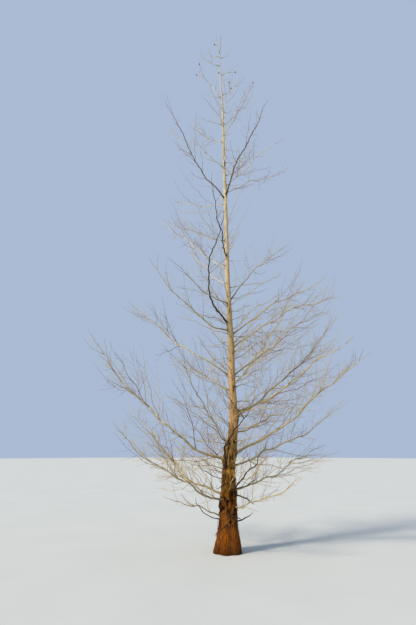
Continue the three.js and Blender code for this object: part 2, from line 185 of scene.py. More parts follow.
BOUGHS = [
    Limb(0.78, 216, 0, 2.15, 1.23, 0.65, 0.034),
    Limb(0.85, 145, 0, 2.55, 1.76, 0.75, 0.038),
    Limb(1.43, 186, 0, 2.6, 2.35, 0.75, 0.046),
    Limb(1.5, 350, 0, 2.55, 1.85, 0.35, 0.042),
    Limb(2.14, 340, 0, 2.2, 1.33, 0.15, 0.036),
    Limb(2.23, 42, -8, 2.9, 2.33, 0.65, 0.038),
    Limb(2.87, 162, 0, 2.25, 1.68, 0.2, 0.032),
    Limb(3.84, 198, 70, 1.22, 1.78, 0.5, 0.036),
    Limb(6.5, 190, 0, 1.3, 2.35, 0.4, 0.03),
    Limb(6.56, 310, 8, 1.2, 1.6, -0.3, 0.031),
]
BRANCHES = [
    Limb(0.5, 206, 0, 1.15, 0.38, -0.3, 0.022),
    Limb(0.68, 315, 0, 1.53, 0.55, 0.7, 0.024),
    Limb(0.9, 38, 0, 2.6, 0.86, 0.35, 0.028),
    Limb(0.9, 296, 0, 1.4, 0.9, 0.4, 0.024),
    Limb(1.13, 98, 0, 2.0, 1.0, 0.6, 0.03),
    Limb(1.33, 26, 0, 2.6, 1.18, 0.5, 0.032),
    Limb(1.72, 240, 4, 1.75, 1.5, 0.8, 0.03),
    Limb(1.88, 58, -4, 2.7, 0.75, 0.35, 0.028),
    Limb(1.18, 222, 90, 0.6, 1.15, 0.3, 0.042),
    Limb(2.58, 118, 8, 2.2, 1.0, 0.1, 0.026),
    Limb(2.68, 288, 6, 2.0, 0.95, 0.5, 0.025),
    Limb(2.86, 42, 0, 3.2, 2.0, -0.1, 0.026),
    Limb(3.15, 88, 0, 2.2, 1.35, 0.3, 0.026),
    Limb(3.38, 332, 6, 2.1, 0.77, -0.75, 0.027),
    Limb(3.64, 20, 0, 2.15, 1.35, -0.3, 0.027),
    Limb(3.73, 206, 0, 1.62, 1.23, 0.95, 0.03),
    Limb(4.25, 226, 0, 1.5, 0.56, 0.95, 0.02),
    Limb(4.29, 46, 0, 1.95, 1.75, -0.4, 0.023),
    Limb(4.66, 122, 0, 1.75, 1.65, 0.5, 0.02),
    Limb(4.95, 146, 0, 1.85, 1.7, 0.1, 0.023),
    Limb(5.23, 254, 0, 0.95, 1.3, 0.9, 0.024),
    Limb(5.4, 84, 0, 1.5, 1.15, 0.4, 0.02),
    Limb(5.56, 205, 0, 1.35, 0.22, 0.9, 0.018),
    Limb(6.39, 148, 0, 1.42, 0.58, 0.6, 0.017),
    Limb(6.64, 35, 0, 1.76, 1.12, -0.2, 0.02),
    Limb(6.78, 325, 0, 1.42, 0.56, -0.4, 0.019),
    Limb(7.07, 56, 0, 1.15, 1.5, 0.7, 0.019),
    Limb(7.24, 206, 0, 0.78, 0.58, 0.4, 0.017),
    Limb(7.3, 284, 0, 0.42, 2.0, 0.1, 0.022, 3),
    Limb(7.88, 140, 0, 0.95, 1.0, 0.5, 0.017),
    Limb(8.02, 344, 0, 0.72, 1.25, 0.05, 0.02, 1),
    Limb(8.31, 200, 0, 0.6, 0.07, 0.9, 0.014),
    Limb(9.01, 172, 0, 0.64, 1.0, 0.0, 0.017, 2),
    Limb(9.11, 24, 0, 0.48, 0.68, 0.8, 0.014),
    Limb(9.64, 346, 0, 0.43, 0.2, 0.8, 0.013, 1),
    Limb(9.9, 194, 0, 0.46, 0.22, 0.8, 0.012),
    Limb(10.13, 8, 0, 0.25, 0.17, 0.9, 0.011),
    Limb(10.17, 160, 0, 0.43, 0.26, 0.4, 0.011),
    Limb(10.27, 214, 0, 0.13, 0.4, 0.3, 0.01, 1),
]
LIMBS = BOUGHS + BRANCHES

# Shoots straight from the trunk, too slight for the solid tree. They leave it level and turn up in a hook.
# Those round the foot are old, their dark bark partly painted shade, and some cross in front of it.
TRUNK_SHOOTS = [
    Limb(8.32, 186, 0, 0.13, 0.56, 0.1, 0.015),
    Limb(9.03, 184, 0, 0.42, 0.14, 0.3, 0.009),
    Limb(7.7, 12, 0, 0.36, -0.04, 0.0, 0.009),
    Limb(7.36, 352, 0, 0.5, 0.2, 0.9, 0.011),
    Limb(6.85, 24, 0, 0.4, 0.12, 0.3, 0.01),
    Limb(6.22, 176, 0, 0.96, 0.05, 0.2, 0.012),
    Limb(6.05, 60, 0, 0.2, 0.34, 0.8, 0.009),
    Limb(5.14, 12, 0, 0.3, 0.05, 0.2, 0.009),
    Limb(5.02, 200, 0, 0.3, 0.32, 0.5, 0.01),
    Limb(4.58, 355, 0, 1.0, 0.24, 0.0, 0.014),
    Limb(4.46, 328, 0, 0.18, 0.3, 0.8, 0.009),
    Limb(3.9, 150, 0, 0.3, 0.4, 0.6, 0.011),
    Limb(2.36, 196, 0, 0.2, 0.34, 0.85, 0.01),
    Limb(2.0, 205, 0, 0.5, 0.6, 0.1, 0.013),
    Limb(1.66, 236, 0, 0.22, 0.36, 0.8, 0.01),
    Limb(1.52, 30, 40, 0.5, 0.3, 0.6, 0.014),
    Limb(1.3, 300, 40, 0.4, 0.36, 0.5, 0.013),
    Limb(1.12, 150, 0, 0.6, 0.3, 0.6, 0.014),
    Limb(0.46, 200, 10, 0.6, 0.42, 0.2, 0.015),
    Limb(0.64, 262, 56, 0.3, -0.13, 0.0, 0.03),
    Limb(0.44, 304, 30, 0.44, 0.2, 0.0, 0.026),
    Limb(0.55, 290, -70, 0.29, -0.27, 0.0, 0.027),
    Limb(0.92, 314, 22, 0.46, -0.18, 0.0, 0.028),
    Limb(1.13, 284, -70, 0.25, -0.16, 0.0, 0.026),
    Limb(0.5, 80, 0, 0.5, 0.16, 0.4, 0.014),
    Limb(0.95, 330, 30, 0.5, 0.26, 0.1, 0.017),
]
# below this height the trunk's shoots take the dark bark, partly painted shade
DARK_SHOOT_TOP = 1.18

# More of them by rule, all round the low trunk between the limbs
INNER_SHOOTS = 64
INNER_LOW, INNER_TOP = 0.7, 4.4
INNER_TURN = 137.5  # degrees from each to the next
INNER_SWING = 40
INNER_REACH = (0.4, 1.25)
INNER_SHORT = 1.5  # power by which the short reaches are commoner
INNER_RISE = (0.05, 0.75)
INNER_UPTURN = 0.3
INNER_WIDTH = (0.009, 0.016)
INNER_ROOM = 0.04  # from the trunk's skin to where they are first tested for room
INNER_PROBES = 12

# Forks of the two dark limbs low on the trunk: the limb, counted from 0, the share of it where the fork
# leaves it, and the fork's bearing, climb, length and width
FORKS = [
    (18, 0.86, 178, 47, 0.62, 0.022),
    (18, 0.5, 190, 62, 0.42, 0.014),
    (13, 0.55, 200, 66, 0.4, 0.011),
]
FORK_LIFT = 0.12
FORK_BOW = (0.2, 0.3, 0.1)

# Finish of the limbs
KINKS = (0.16, 0.41)  # lengths of the small waves that a limb's growth leaves in it
KINK_SIZE = 0.008
TWIG_KINKS = 2.7  # waves along a twig
TWIG_KINK_SIZE = 0.017  # share of its length
TWIG_STEPS, TWIGLET_STEPS, TIPLET_STEPS = 9, 4, 2
LIMB_ROOT = 0.2  # share of the trunk's radius at which a limb's skin starts
HOOK = 2.2  # power by which a trunk shoot's way out from the trunk dies off
NODE_SWELL = 0.22  # share of its radius that a limb swells where it bears a twig
NODE_LENGTH = 0.012
TIP_THIN = 0.6  # share of its width that a limb has lost at its very tip
TIP_POWER = 7  # power by which that loss grows on the way
TIP_SHARE = 0.5  # most of a shoot's own width that its tip has
LIMB_POINT, TWIG_POINT, BUD_POINT = 1.5, 2.0, 2.5  # how far their points stand past the end, in radii
STEEP = 0.9  # upward share of a direction from which a path counts as upright
KNOBS = [(5, 0.07, 0.05), (9, 0.025, 0.035)]  # its noise: knots round the limb, length, share of its radius
BOUGH_RING, BOUGH_SIDES = 0.014, 20  # between rings of a bough's skin, and its sides
BRANCH_RING, BRANCH_SIDES = 0.022, 12
SHOOT_RING, SHOOT_SIDES = 0.02, 7
SHOOT_KNOT = np.array([0.5])
TWIG_SIDES, FINE_SIDES = 5, 3
LEAST_RINGS = 12
MOST_TRIANGLES = 190000  # of a joined piece
PAINTED_SHADE_LIMBS = {7, 13, 18, 30}  # limbs, counted from 0, whose bark is darkened nearly black as painted shade
# limbs, counted from 0, whose bark is darkened to grey as painted shade
GREY_PAINTED_SHADE_LIMBS = {8, 9}
HIGH_LIMB = 4.6  # height from which limbs have smooth, paler bark

# Finish of the trunk: pieces of skin from one height to the next, with their columns and rings
SEAM = 2.4
FOOT_COLUMNS, FOOT_RINGS = 300, 290
STEM_COLUMNS, STEM_RINGS = 75, 900
WANDERS = [(0.02, 3, 7, 0.5), (0.006, 4, 17, 0.16)]  # of its strips: share of a turn, seed, knots, length
RIBBONS = 17  # ribs of old bark round the foot
RIBBON_LENGTH = 0.42
RIBBON_DEPTH = 0.009
FURROW_WIDTH = 0.17  # of the furrows between them, where their noise is near 0
FURROW_SHADE = 0.6
STRIPS = 50
STRIP_LENGTH = 0.15
STRIP_DEPTH = 0.0045
CRACK_WIDTH = 0.22
CRACK_SHADE = 0.3
FIBRES = 110
FIBRE_LENGTH = 0.07
FIBRE_DEPTH = 0.0014
OLD_BARK = 1.7  # height over which the deep bark of the foot gives way to the smooth bark above
YOUNG_BARK = 0.1  # share of the foot's relief that is left above
BULGE = 0.08  # share of the radius
BULGES = 5
BULGE_LENGTH = 0.26
BULGE_FADE = 2.6
RIBS = 8  # broad ribs between the old knots, strongest at RIB_HEIGHT
RIB_LENGTH = 0.5
RIB_DEPTH = 0.14  # share of the radius
RIB_HEIGHT = 1.05
RIB_FADE = 0.75
RIB_SHADE = 1.7  # how fast painted shade deepens between ribs, from where the rib's noise falls below RIB_LIT
RIB_LIT = 0.15
RIB_DARKEST = 0.9
HOLLOW_DEPTH = 0.3  # share of the trunk's radius that the hollow below a limb is sunk
HOLLOW_DROP = 0.1
HOLLOW_HEIGHT = 0.08
HOLLOW_SPREAD = 18
HOLLOW_FADE = 3.4  # height over which hollows shrink, down to these shares of their drop and height
HOLLOW_LEAST_DROP, HOLLOW_LEAST_HEIGHT = 0.4, 0.35
HOLLOW_LIMB = 0.034  # width of limb that has a whole one
HOLLOW_SHADE = 0.9
HOLLOW_LEAST_SHADE = 0.3
CROTCH_HEIGHT = 2.1  # of the painted shade round a limb's foot, in widths of the limb
CROTCH_RISE = 0.3
CROTCH_SPREAD = 27
CROTCH_SHADE = 0.85

# Old knots round the foot, where a bough was lost: height, bearing, size, and how far bark has closed over
# it. Bark swells round each, and its hollow, or the groove round its knob, is dark.
# the dark of a knot's hollow or groove is painted shade
OLD_KNOTS = [
    (0.48, 285, 0.55, 0.0), (0.75, 235, 1.5, 1.0), (0.64, 206, 0.7, 0.0), (0.78, 268, 0.5, 0.0),
    (0.9, 300, 1.0, 0.1), (0.66, 318, 0.7, 0.0), (1.15, 256, 1.0, 0.0), (1.12, 306, 0.7, 0.7),
    (1.42, 296, 0.8, 0.8), (1.5, 238, 0.7, 0.0), (1.5, 300, 0.6, 0.0), (1.74, 274, 0.5, 0.1),
    (1.72, 300, 0.5, 0.0), (0.55, 18, 0.8, 0.0), (0.86, 66, 1.6, 1.0), (0.68, 104, 0.9, 0.1),
    (1.06, 132, 1.2, 0.9), (0.66, 168, 0.9, 0.0), (1.3, 76, 0.9, 0.0), (1.58, 140, 0.8, 0.1),
    (1.22, 352, 1.0, 0.8), (1.7, 30, 0.7, 0.0), (1.9, 205, 0.6, 0.1), (2.1, 330, 0.5, 0.0),
]
KNOT_HEIGHT = 0.052
KNOT_SPREAD = 20  # degrees
KNOT_RAGGED = 0.25
KNOT_DEPTH = 0.03
KNOT_KNOB = 0.5  # share of that depth by which a closed knot's knob stands out
KNOT_LIP = 0.013
LIP_AT, LIP_WIDTH = 1.6, 0.5  # in radii of the knot
GROOVE_WIDTH = 0.36
KNOT_EDGE = 1.15  # of an open knot's shade
KNOT_SHADE = 0.97

LOOSE_STRIPS = 300  # lifting shreds of bark on the foot
LOOSE_TOP = 1.9
LOOSE_LENGTH = (0.05, 0.24)
LOOSE_WIDTH = (0.003, 0.008)
LOOSE_THICK = 0.0012
LOOSE_LIFT = (0.002, 0.011)
LOOSE_LOWEST = 0.012
LOOSE_CROWDING = 1.3  # power by which they crowd to the foot
LOOSE_DRIFT = 0.12  # radians that one may drift round the trunk on its way
LOOSE_UPWARD = 0.6  # share of them that lift at the upper end
LOOSE_BRIDGE = 0.004  # furrows deeper than this they bridge
LOOSE_ENDS = 0.35  # share of their width at the ends
LOOSE_RINGS = 7
RELIEF_GRID = (260, 240)  # rings and sides of the grid that they read the bark's relief from

# Winter buds: their size at a shoot's end and along it, and their two rings in shares of that
END_BUD = (0.0022, 0.0034)
SIDE_BUD = (0.0016, 0.0026)
BUD_RINGS = np.array([0.3, 1.4])
BUD_RADII = np.array([0.42, 0.3])
BUD_SIDES = 4
BUD_SHARES = (0.3, 0.5, 0.7, 0.86)  # of a shoot longer than BUDDED_LENGTH, where a pair stands
BUDDED_LENGTH = 0.3
BUD_STEP = 0.02  # share of the shoot over which its direction is taken
BUD_OFF = 0.0012
BUD_SPREAD = 0.9

# Cones
CONE_ROWS = 7
CONE_COLUMNS, CONE_RINGS = 32, 25
CONE_ENDS = (0.04, 0.96)  # shares of the way from pole to pole of the first and the last ring
CONE_BLUNT, SCALE_BLUNT, ROW_BLUNT = 0.8, 0.5, 0.4  # powers of the sines of its shape: the lower, the blunter
LIP_SHARP = 3
CONE_GROOVE = 0.78  # share of the radius in the grooves between scales
CONE_DROP = 0.75  # of its middle below its twig, in widths of the cone
STALK_RADIUS, STALK_RINGS, STALK_SIDES = 0.0011, 4, 6
STALK_END = 0.8  # share of the cone's half height at which its stalk ends, inside it

# The camera, at eye height, and the floor
CAMERA_PLACE = (0, -8.16, 1.65)
CAMERA_TILT, CAMERA_YAW = 16.64, 2.3  # degrees up and to the left
SENSOR_WIDTH = 36  # mm
FOCAL_SHARE = 450 / 625  # focal length over the height of the picture
FLOOR_RADIUS, FLOOR_CORNERS = 70, 96


# Shapes worked out as whole arrays

def draws(seed):
    """Even random numbers from 0 to 1: a counter, mixed by shifts and odd multipliers in 32 bits."""
    whole = 0xFFFFFFFF
    state = seed
    while True:
        state = (state + 0x6D2B79F5) & whole
        n = state
        n = ((n ^ (n >> 15)) * (n | 1)) & whole
        n ^= (n + (n ^ (n >> 7)) * (n | 61)) & whole
        yield (n ^ (n >> 14)) / 4294967296


def mix(low, high, share):
    """The value at a share of the way from low to high."""
    return low + (high - low) * share


def smooth(share):
    """An S from 0 to 1: three times the square less twice the cube."""
    return share * share * (3 - 2 * share)


def unit(vectors):
    """The same directions, each one long."""
    return vectors / np.linalg.norm(vectors, axis=-1, keepdims=True)


def bark_noise(seed, around, cell, turns, along):
    """Smooth noise from -1 to 1 over a stem. Random values stand at knots, a number of them round the stem
    and one each cell's length along it, and blend between knots by an S. It closes on itself round the
    stem."""
    row = along / cell
    row = row - row.min()
    knots = np.random.default_rng(seed).uniform(-1, 1, (int(row.max()) + 2, around))
    column = turns * around
    low_row = np.floor(row).astype(int)
    low_column = np.floor(column).astype(int)
    rise = smooth(row - low_row)
    side = smooth(column - low_column)
    left = low_column % around
    right = (low_column + 1) % around
    lower = mix(knots[low_row, left], knots[low_row, right], side)
    upper = mix(knots[low_row + 1, left], knots[low_row + 1, right], side)
    return mix(lower, upper, rise)


def trunk_axis(z):
    """How far the middle of the trunk stands to the right: eased by an S from each station to the next."""
    z = np.asarray(z, float)
    i = np.clip(np.searchsorted(LEAN_HEIGHTS, z, side="left") - 1, 0, len(LEAN_HEIGHTS) - 2)
    share = np.clip((z - LEAN_HEIGHTS[i]) / (LEAN_HEIGHTS[i + 1] - LEAN_HEIGHTS[i]), 0, 1)
    return mix(LEAN_OFFSETS[i], LEAN_OFFSETS[i + 1], smooth(share))


def trunk_middle(z):
    """The middle of the trunk at each height."""
    z = np.asarray(z, float)
    return np.stack([trunk_axis(z), np.zeros_like(z), z], -1)


def trunk_width(z):
    """Width of the round stem: a taper to the tip, and a spread of the foot that fades by e with height."""
    taper = (STEM_WIDTH - TIP_WIDTH) * np.maximum(0, 1 - z / HEIGHT) ** STEM_TAPER
    return TIP_WIDTH + taper + FLARE_WIDTH * np.exp(-z / FLARE_FADE)


def degrees_off(turn, bearing):
    """Degrees from a bearing to a turn in radians, from -180 to 180."""
    return (np.degrees(turn) - bearing + 180) % 360 - 180


def bell(z, turn, height, bearing, tall, wide):
    """A bell on the trunk's skin, 1 at its middle: e to the power of less the squares of the way off in
    height, in lengths of tall, and of the way off round the trunk, in widths of wide degrees."""
    up = (z - height) / tall
    round_it = degrees_off(turn, bearing) / wide
    return np.exp(-(up**2) - round_it**2)


def trunk_radius(z, turn):
    """The round stem's radius, with flutes that are cosines round the foot, and a bell at each limb."""
    fade = FLUTE_DEPTH * np.exp(-z / FLUTE_FADE)
    flutes = sum(share * np.cos(count * (turn + math.radians(turned))) for count, share, turned in FLUTES)
    radius = trunk_width(z) / 2 * (1 + fade * flutes)
    for i, limb in enumerate(LIMBS + TRUNK_SHOOTS):
        is_bough = i < len(BOUGHS)
        swell = COLLAR_SHARE * limb.width * (1 if is_bough else SMALL_COLLAR)
        tall = COLLAR_FADE if is_bough else max(LEAST_FADE, SMALL_FADE * limb.width)
        wide = max(COLLAR_SPREAD, math.degrees(COLLAR_WRAP * limb.width / trunk_width(limb.base)))
        radius = radius + swell * bell(z, turn, limb.base, limb.bearing, tall, wide)
    return radius


def bark_relief(z, turn):
    """Height of the bark's relief over the trunk, and two darkenings, both from 0 to 1: how dark each place
    is in its furrows and cracks, partly the bark's own colour and partly painted shade, and in the painted
    shade between the ribs; and how deep in the painted shade of a hollow, a knot or a limb's foot. Furrows
    run where slow noise passes through 0, in a broad and a narrow net, with fibres between, over broad ribs
    and bulges. A hollow is sunk below each limb, and at each old knot, which has a ring of swollen bark, and
    a limb's foot is darkened as painted shade. The relief fades with height."""
    turns = turn / (2 * math.pi)
    wander = turns + sum(size * bark_noise(*noise, turns, z) for size, *noise in WANDERS)
    furrow = np.exp(-((bark_noise(5, RIBBONS, RIBBON_LENGTH, wander, z) / FURROW_WIDTH) ** 2))
    crack = np.exp(-((bark_noise(6, STRIPS, STRIP_LENGTH, wander, z) / CRACK_WIDTH) ** 2))
    fibre = bark_noise(7, FIBRES, FIBRE_LENGTH, wander, z)
    bulge = bark_noise(8, BULGES, BULGE_LENGTH, turns, z) * np.exp(-((z / BULGE_FADE) ** 2))
    rib = bark_noise(9, RIBS, RIB_LENGTH, wander, z)
    rib_grown = np.exp(-(((z - RIB_HEIGHT) / RIB_FADE) ** 2))
    radius = trunk_width(z) / 2
    age = mix(YOUNG_BARK, 1, np.exp(-((z / OLD_BARK) ** 2)))
    relief = radius * (BULGE * bulge + RIB_DEPTH * rib * rib_grown)
    relief = relief - age * (RIBBON_DEPTH * furrow + STRIP_DEPTH * crack - FIBRE_DEPTH * fibre)
    # painted shade on the ground between the ribs
    painted_shade_between_ribs = np.clip(RIB_SHADE * (RIB_LIT - rib), 0, RIB_DARKEST) * rib_grown
    shade = np.clip(FURROW_SHADE * furrow + CRACK_SHADE * crack + painted_shade_between_ribs, 0, 1)
    dark = np.zeros_like(relief)
    for height, bearing, size, healed in OLD_KNOTS:
        up = (z - height) / (KNOT_HEIGHT * size)
        round_it = degrees_off(turn, bearing) / (KNOT_SPREAD * size)
        off = np.hypot(up, round_it) * (1 + KNOT_RAGGED * bulge)
        lip = np.exp(-(((off - LIP_AT) / LIP_WIDTH) ** 2))
        hollow = np.exp(-(off**2))
        groove = np.exp(-(((off - 1) / GROOVE_WIDTH) ** 2))
        sunk = mix(hollow, groove - KNOT_KNOB * hollow, healed)
        relief = relief + size**0.5 * (KNOT_LIP * lip - KNOT_DEPTH * sunk)
        # painted shade in an open knot's hollow, or in the groove round a closed knot's knob
        open_shade = np.exp(-((off / KNOT_EDGE) ** 4))
        dark = np.maximum(dark, KNOT_SHADE * mix(open_shade, groove, healed))
    for limb in LIMBS:
        fade = math.exp(-((limb.base / HOLLOW_FADE) ** 2))
        size = fade * (limb.width / HOLLOW_LIMB) ** 0.5
        height = limb.base - HOLLOW_DROP * mix(HOLLOW_LEAST_DROP, 1, fade)
        tall = HOLLOW_HEIGHT * mix(HOLLOW_LEAST_HEIGHT, 1, fade)
        sunk = bell(z, turn, height, limb.bearing, tall, HOLLOW_SPREAD)
        relief = relief - HOLLOW_DEPTH * size * radius * sunk
        # painted shade in the hollow below the limb
        dark = np.maximum(dark, HOLLOW_SHADE * min(1, HOLLOW_LEAST_SHADE + size) * sunk)
    # painted shade round the foot of each limb and shoot
    for limb in LIMBS + TRUNK_SHOOTS:
        height = limb.base + CROTCH_RISE * limb.width
        darkening = bell(z, turn, height, limb.bearing, CROTCH_HEIGHT * limb.width, CROTCH_SPREAD)
        dark = np.maximum(dark, CROTCH_SHADE * darkening)
    return relief, shade, dark


def waves(share, counts, phases):
    """Two sines along a limb, the second half as large as the first, each started at its own phase."""
    first = np.sin(2 * math.pi * (counts[0] * share + phases[0]))
    return first + SMALL_WAVE * np.sin(2 * math.pi * (counts[1] * share + phases[1]))


class LimbLine:
    """A limb's line: where its middle lies at a share of its length, and how thick it is there."""

    def __init__(self, limb, seed, hooked=False):
        draw = draws(seed)
        self.limb = limb
        self.hooked = hooked
        self.sway_phases = [next(draw), next(draw)]
        self.lift_phases = [next(draw), next(draw)]
        self.kink_phases = [next(draw), next(draw)]
        self.length = math.hypot(limb.reach, limb.rise)

    def at(self, share, kinked=False):
        """Out along the bearing, which swings evenly, and up by a part in step and a part that goes as the
        square, with a waver to the side and up. kinked adds the small waves of the real wood."""
        limb = self.limb
        share = np.asarray(share, float)
        bearing = np.radians(limb.bearing + limb.turn * share)
        up = limb.rise * ((1 - limb.upturn) * share + limb.upturn * share**2)
        settled = np.minimum(1, WAVER_SETTLES * share)
        sway = WAVER * self.length * settled * waves(share, SWAY_WAVES, self.sway_phases)
        lift = WAVER * self.length * settled * waves(share, LIFT_WAVES, self.lift_phases)
        if kinked:
            counts = [self.length / kink for kink in KINKS]
            size = KINK_SIZE * min(1, self.length) * settled
            sway = sway + size * waves(share, counts, self.kink_phases)
            lift = lift + size * waves(share, counts[::-1], self.kink_phases)
        foot = trunk_axis(limb.base)
        out = self.out(share)
        x = foot + out * np.cos(bearing) - sway * np.sin(bearing)
        y = out * np.sin(bearing) + sway * np.cos(bearing)
        return np.stack([x, y, limb.base + up + lift], -1)

    def out(self, share):
        """How far out from the trunk's middle: by the share of the reach, but for a hooked shoot by one less
        a power of what is left, so that it leaves the trunk level."""
        return self.limb.reach * (1 - (1 - np.clip(share, 0, 1)) ** HOOK if self.hooked else share)

    def share_at(self, out):
        """The share of the way at which it is a distance out."""
        share = out / self.limb.reach
        return 1 - (1 - share) ** (1 / HOOK) if self.hooked else share

    def width(self, share):
        """A taper by a power of what is left, and a collar that fades by e out from the trunk's skin."""
        limb = self.limb
        taper = LIMB_TIP_WIDTH + (limb.width - LIMB_TIP_WIDTH) * (1 - share) ** LIMB_TAPER
        clear = np.maximum(0, self.out(share) - trunk_width(limb.base) / 2)
        return taper * (1 + LIMB_COLLAR * np.exp(-clear / limb.width))


# A shoot: it leaves its root in the direction start, turns up by lift, and bows a little on the way
SHOOT = np.dtype([
    ("root", float, 3),
    ("start", float, 3),
    ("bow", float, 3),
    ("length", float),
    ("lift", float),
    ("width", float),
    ("limb", int),
    ("tint", int),
    ("share", float),
])


def shoots_at(shoots, share, kinked=False):
    """Places along shoots: the root, plus the start by the share, plus up by its square, plus the bow as half
    a sine. share is one list for all shoots, or a row for each. kinked adds the bends that a twig makes from
    bud to bud: a sine to one side and the other, which starts from nothing at the root."""
    share = np.broadcast_to(share, (len(shoots), np.shape(share)[-1]))[..., None]
    length = shoots["length"][:, None, None]
    straight = shoots["root"][:, None] + shoots["start"][:, None] * length * share
    rise = UP * length * shoots["lift"][:, None, None] * share**2
    places = straight + rise + shoots["bow"][:, None] * TWIG_BEND * length * np.sin(math.pi * share)
    if kinked:
        side = unit(np.cross(shoots["start"], shoots["bow"]))[:, None]
        phase = shoots["bow"][:, None, :1]
        wave = np.sin(2 * math.pi * (TWIG_KINKS * share + phase)) - np.sin(2 * math.pi * phase)
        places = places + side * TWIG_KINK_SIZE * length * wave
    return places


def on_path(path, share):
    """The point at a share of the way along a path of even steps."""
    place = share * (len(path) - 1)
    i = int(place)
    return mix(path[i], path[i + 1], place - i)


def start_shoots(at, along, width, side, rule, length, chance):
    """Shoots from places on what bears them. chance has six even random numbers for each: the angle off the
    bearer, the roll above or below its level, the lift, and the bow's three parts."""
    shoots = np.zeros(len(at), SHOOT)
    angle = np.radians(rule.angle * mix(*ANGLE_SPREAD, chance[:, 0]))[:, None]
    roll = np.radians(mix(-rule.roll, rule.roll, chance[:, 1]))[:, None]
    level = unit(np.cross(along, UP))
    above = np.cross(level, along)
    out = level * np.asarray(side, float)[:, None] * np.cos(roll) + above * np.sin(roll)
    usual = rule.width * mix(TWIG_THINNEST, 1, length / rule.most)
    shoots["root"] = at
    shoots["start"] = along * np.cos(angle) + out * np.sin(angle)
    shoots["bow"] = chance[:, 3:6] - 0.5
    shoots["length"] = length
    shoots["lift"] = rule.rise * mix(*RISE_SPREAD, chance[:, 2])
    shoots["width"] = np.minimum(usual, ROOT_SHARE * width)
    return shoots


# The solid tree's own growth, on straight pieces, to the same twigs

def stations(line, low, high, steps):
    """Places along part of a limb's line, with their widths; the limb's end has no width."""
    share = np.linspace(low, high, steps + 1)
    width = np.where(share < 1, line.width(np.minimum(share, 1)), 0.0)
    return line.at(share), width


def on_stations(places, widths, share):
    """The place, direction and width at a share of the way along straight pieces."""
    place = share * (len(places) - 1)
    i = int(place)
    along = unit(places[i + 1] - places[i])
    return mix(places[i], places[i + 1], place - i), along, mix(widths[i], widths[i + 1], place - i)


NO_OWNER = -2


class Standing:
    """All that stands already, as straight pieces with a thickness and an owner."""
    ROOM = 6000

    def __init__(self):
        self.start = np.zeros((self.ROOM, 3))
        self.span = np.zeros((self.ROOM, 3))
        self.width = np.zeros(self.ROOM)
        self.owner = np.full(self.ROOM, -1)
        self.count = 0

    def add(self, places, widths, owner):
        """Adds the straight pieces from place to place, each as thick as its thicker end."""
        new = slice(self.count, self.count + len(places) - 1)
        self.start[new] = places[:-1]
        self.span[new] = places[1:] - places[:-1]
        self.width[new] = np.maximum(widths[:-1], widths[1:])
        self.owner[new] = owner
        self.count = new.stop

    def blocks(self, places, widths, owner):
        """Whether straight pieces come too near the ground or what another owner has."""
        probes = mix(places[:-1, None], places[1:, None], CLEAR_PROBES[None, :, None])
        if probes[..., 2].min() < GROUND_CLEARANCE:
            return True
        reach = np.repeat(widths[:-1], len(CLEAR_PROBES))
        return bool(self.gaps(probes.reshape(-1, 3), reach, owner).min() < CLEARANCE)

    def gaps(self, probes, widths, owner):
        """Clear space from each probe to the nearest piece of another owner, by the nearest point on it."""
        here = slice(0, self.count)
        others = self.owner[here] != owner
        start, span = self.start[here][others], self.span[here][others]
        off = probes[:, None] - start
        share = np.clip((off * span).sum(-1) / np.maximum((span * span).sum(-1), 1e-12), 0, 1)
        apart = np.linalg.norm(off - share[..., None] * span, axis=-1)
        return (apart - (widths[:, None] + self.width[here][others]) / 2).min(1)


def grow(places, widths, first, rule, owner, draw, finer, drawn_at, standing):
    """The solid tree's twigs along straight pieces, in pairs that are not always whole, and the twigs on
    those. drawn_at gives the place on the curved wood, where the twig is then rooted."""
    grown = []
    whole = np.linalg.norm(np.diff(places, axis=0), axis=1).sum()
    t = first
    while t < LAST_TWIG:
        for side in (-1, 1):
            kept = next(draw) < rule.kept
            size = rule.share * (whole * (1 - t) + rule.least) * mix(*LENGTH_SPREAD, next(draw))
            length = min(max(size, rule.least), rule.most)
            chance = np.array([[next(draw) for _ in range(6)]])
            at, along, width = on_stations(places, widths, t)
            twig = start_shoots(at[None], along[None], width, [side], rule, length, chance)
            share = np.linspace(0, 1, rule.pieces + 1)
            straight = shoots_at(twig, share)[0]
            thick = np.where(share < 1, mix(twig["width"][0], TWIG_TIP_WIDTH, share), 0.0)
            if not kept or standing.blocks(straight, thick, owner):
                continue
            standing.add(straight, thick, owner)
            twig["root"] = drawn_at(t)
            twig["share"] = t
            grown.append(twig)
            if finer and length > finer.gap:
                drawn = shoots_at(twig, np.linspace(0, 1, TWIG_STEPS + 1), kinked=True)[0]
                on_twig = lambda part, drawn=drawn: on_path(drawn, part)
                grown += grow(straight, thick, FIRST_FINE, finer, owner, draw, None, on_twig, standing)
        t += rule.gap / whole * mix(*GAP_SPREAD, next(draw))
    return grown


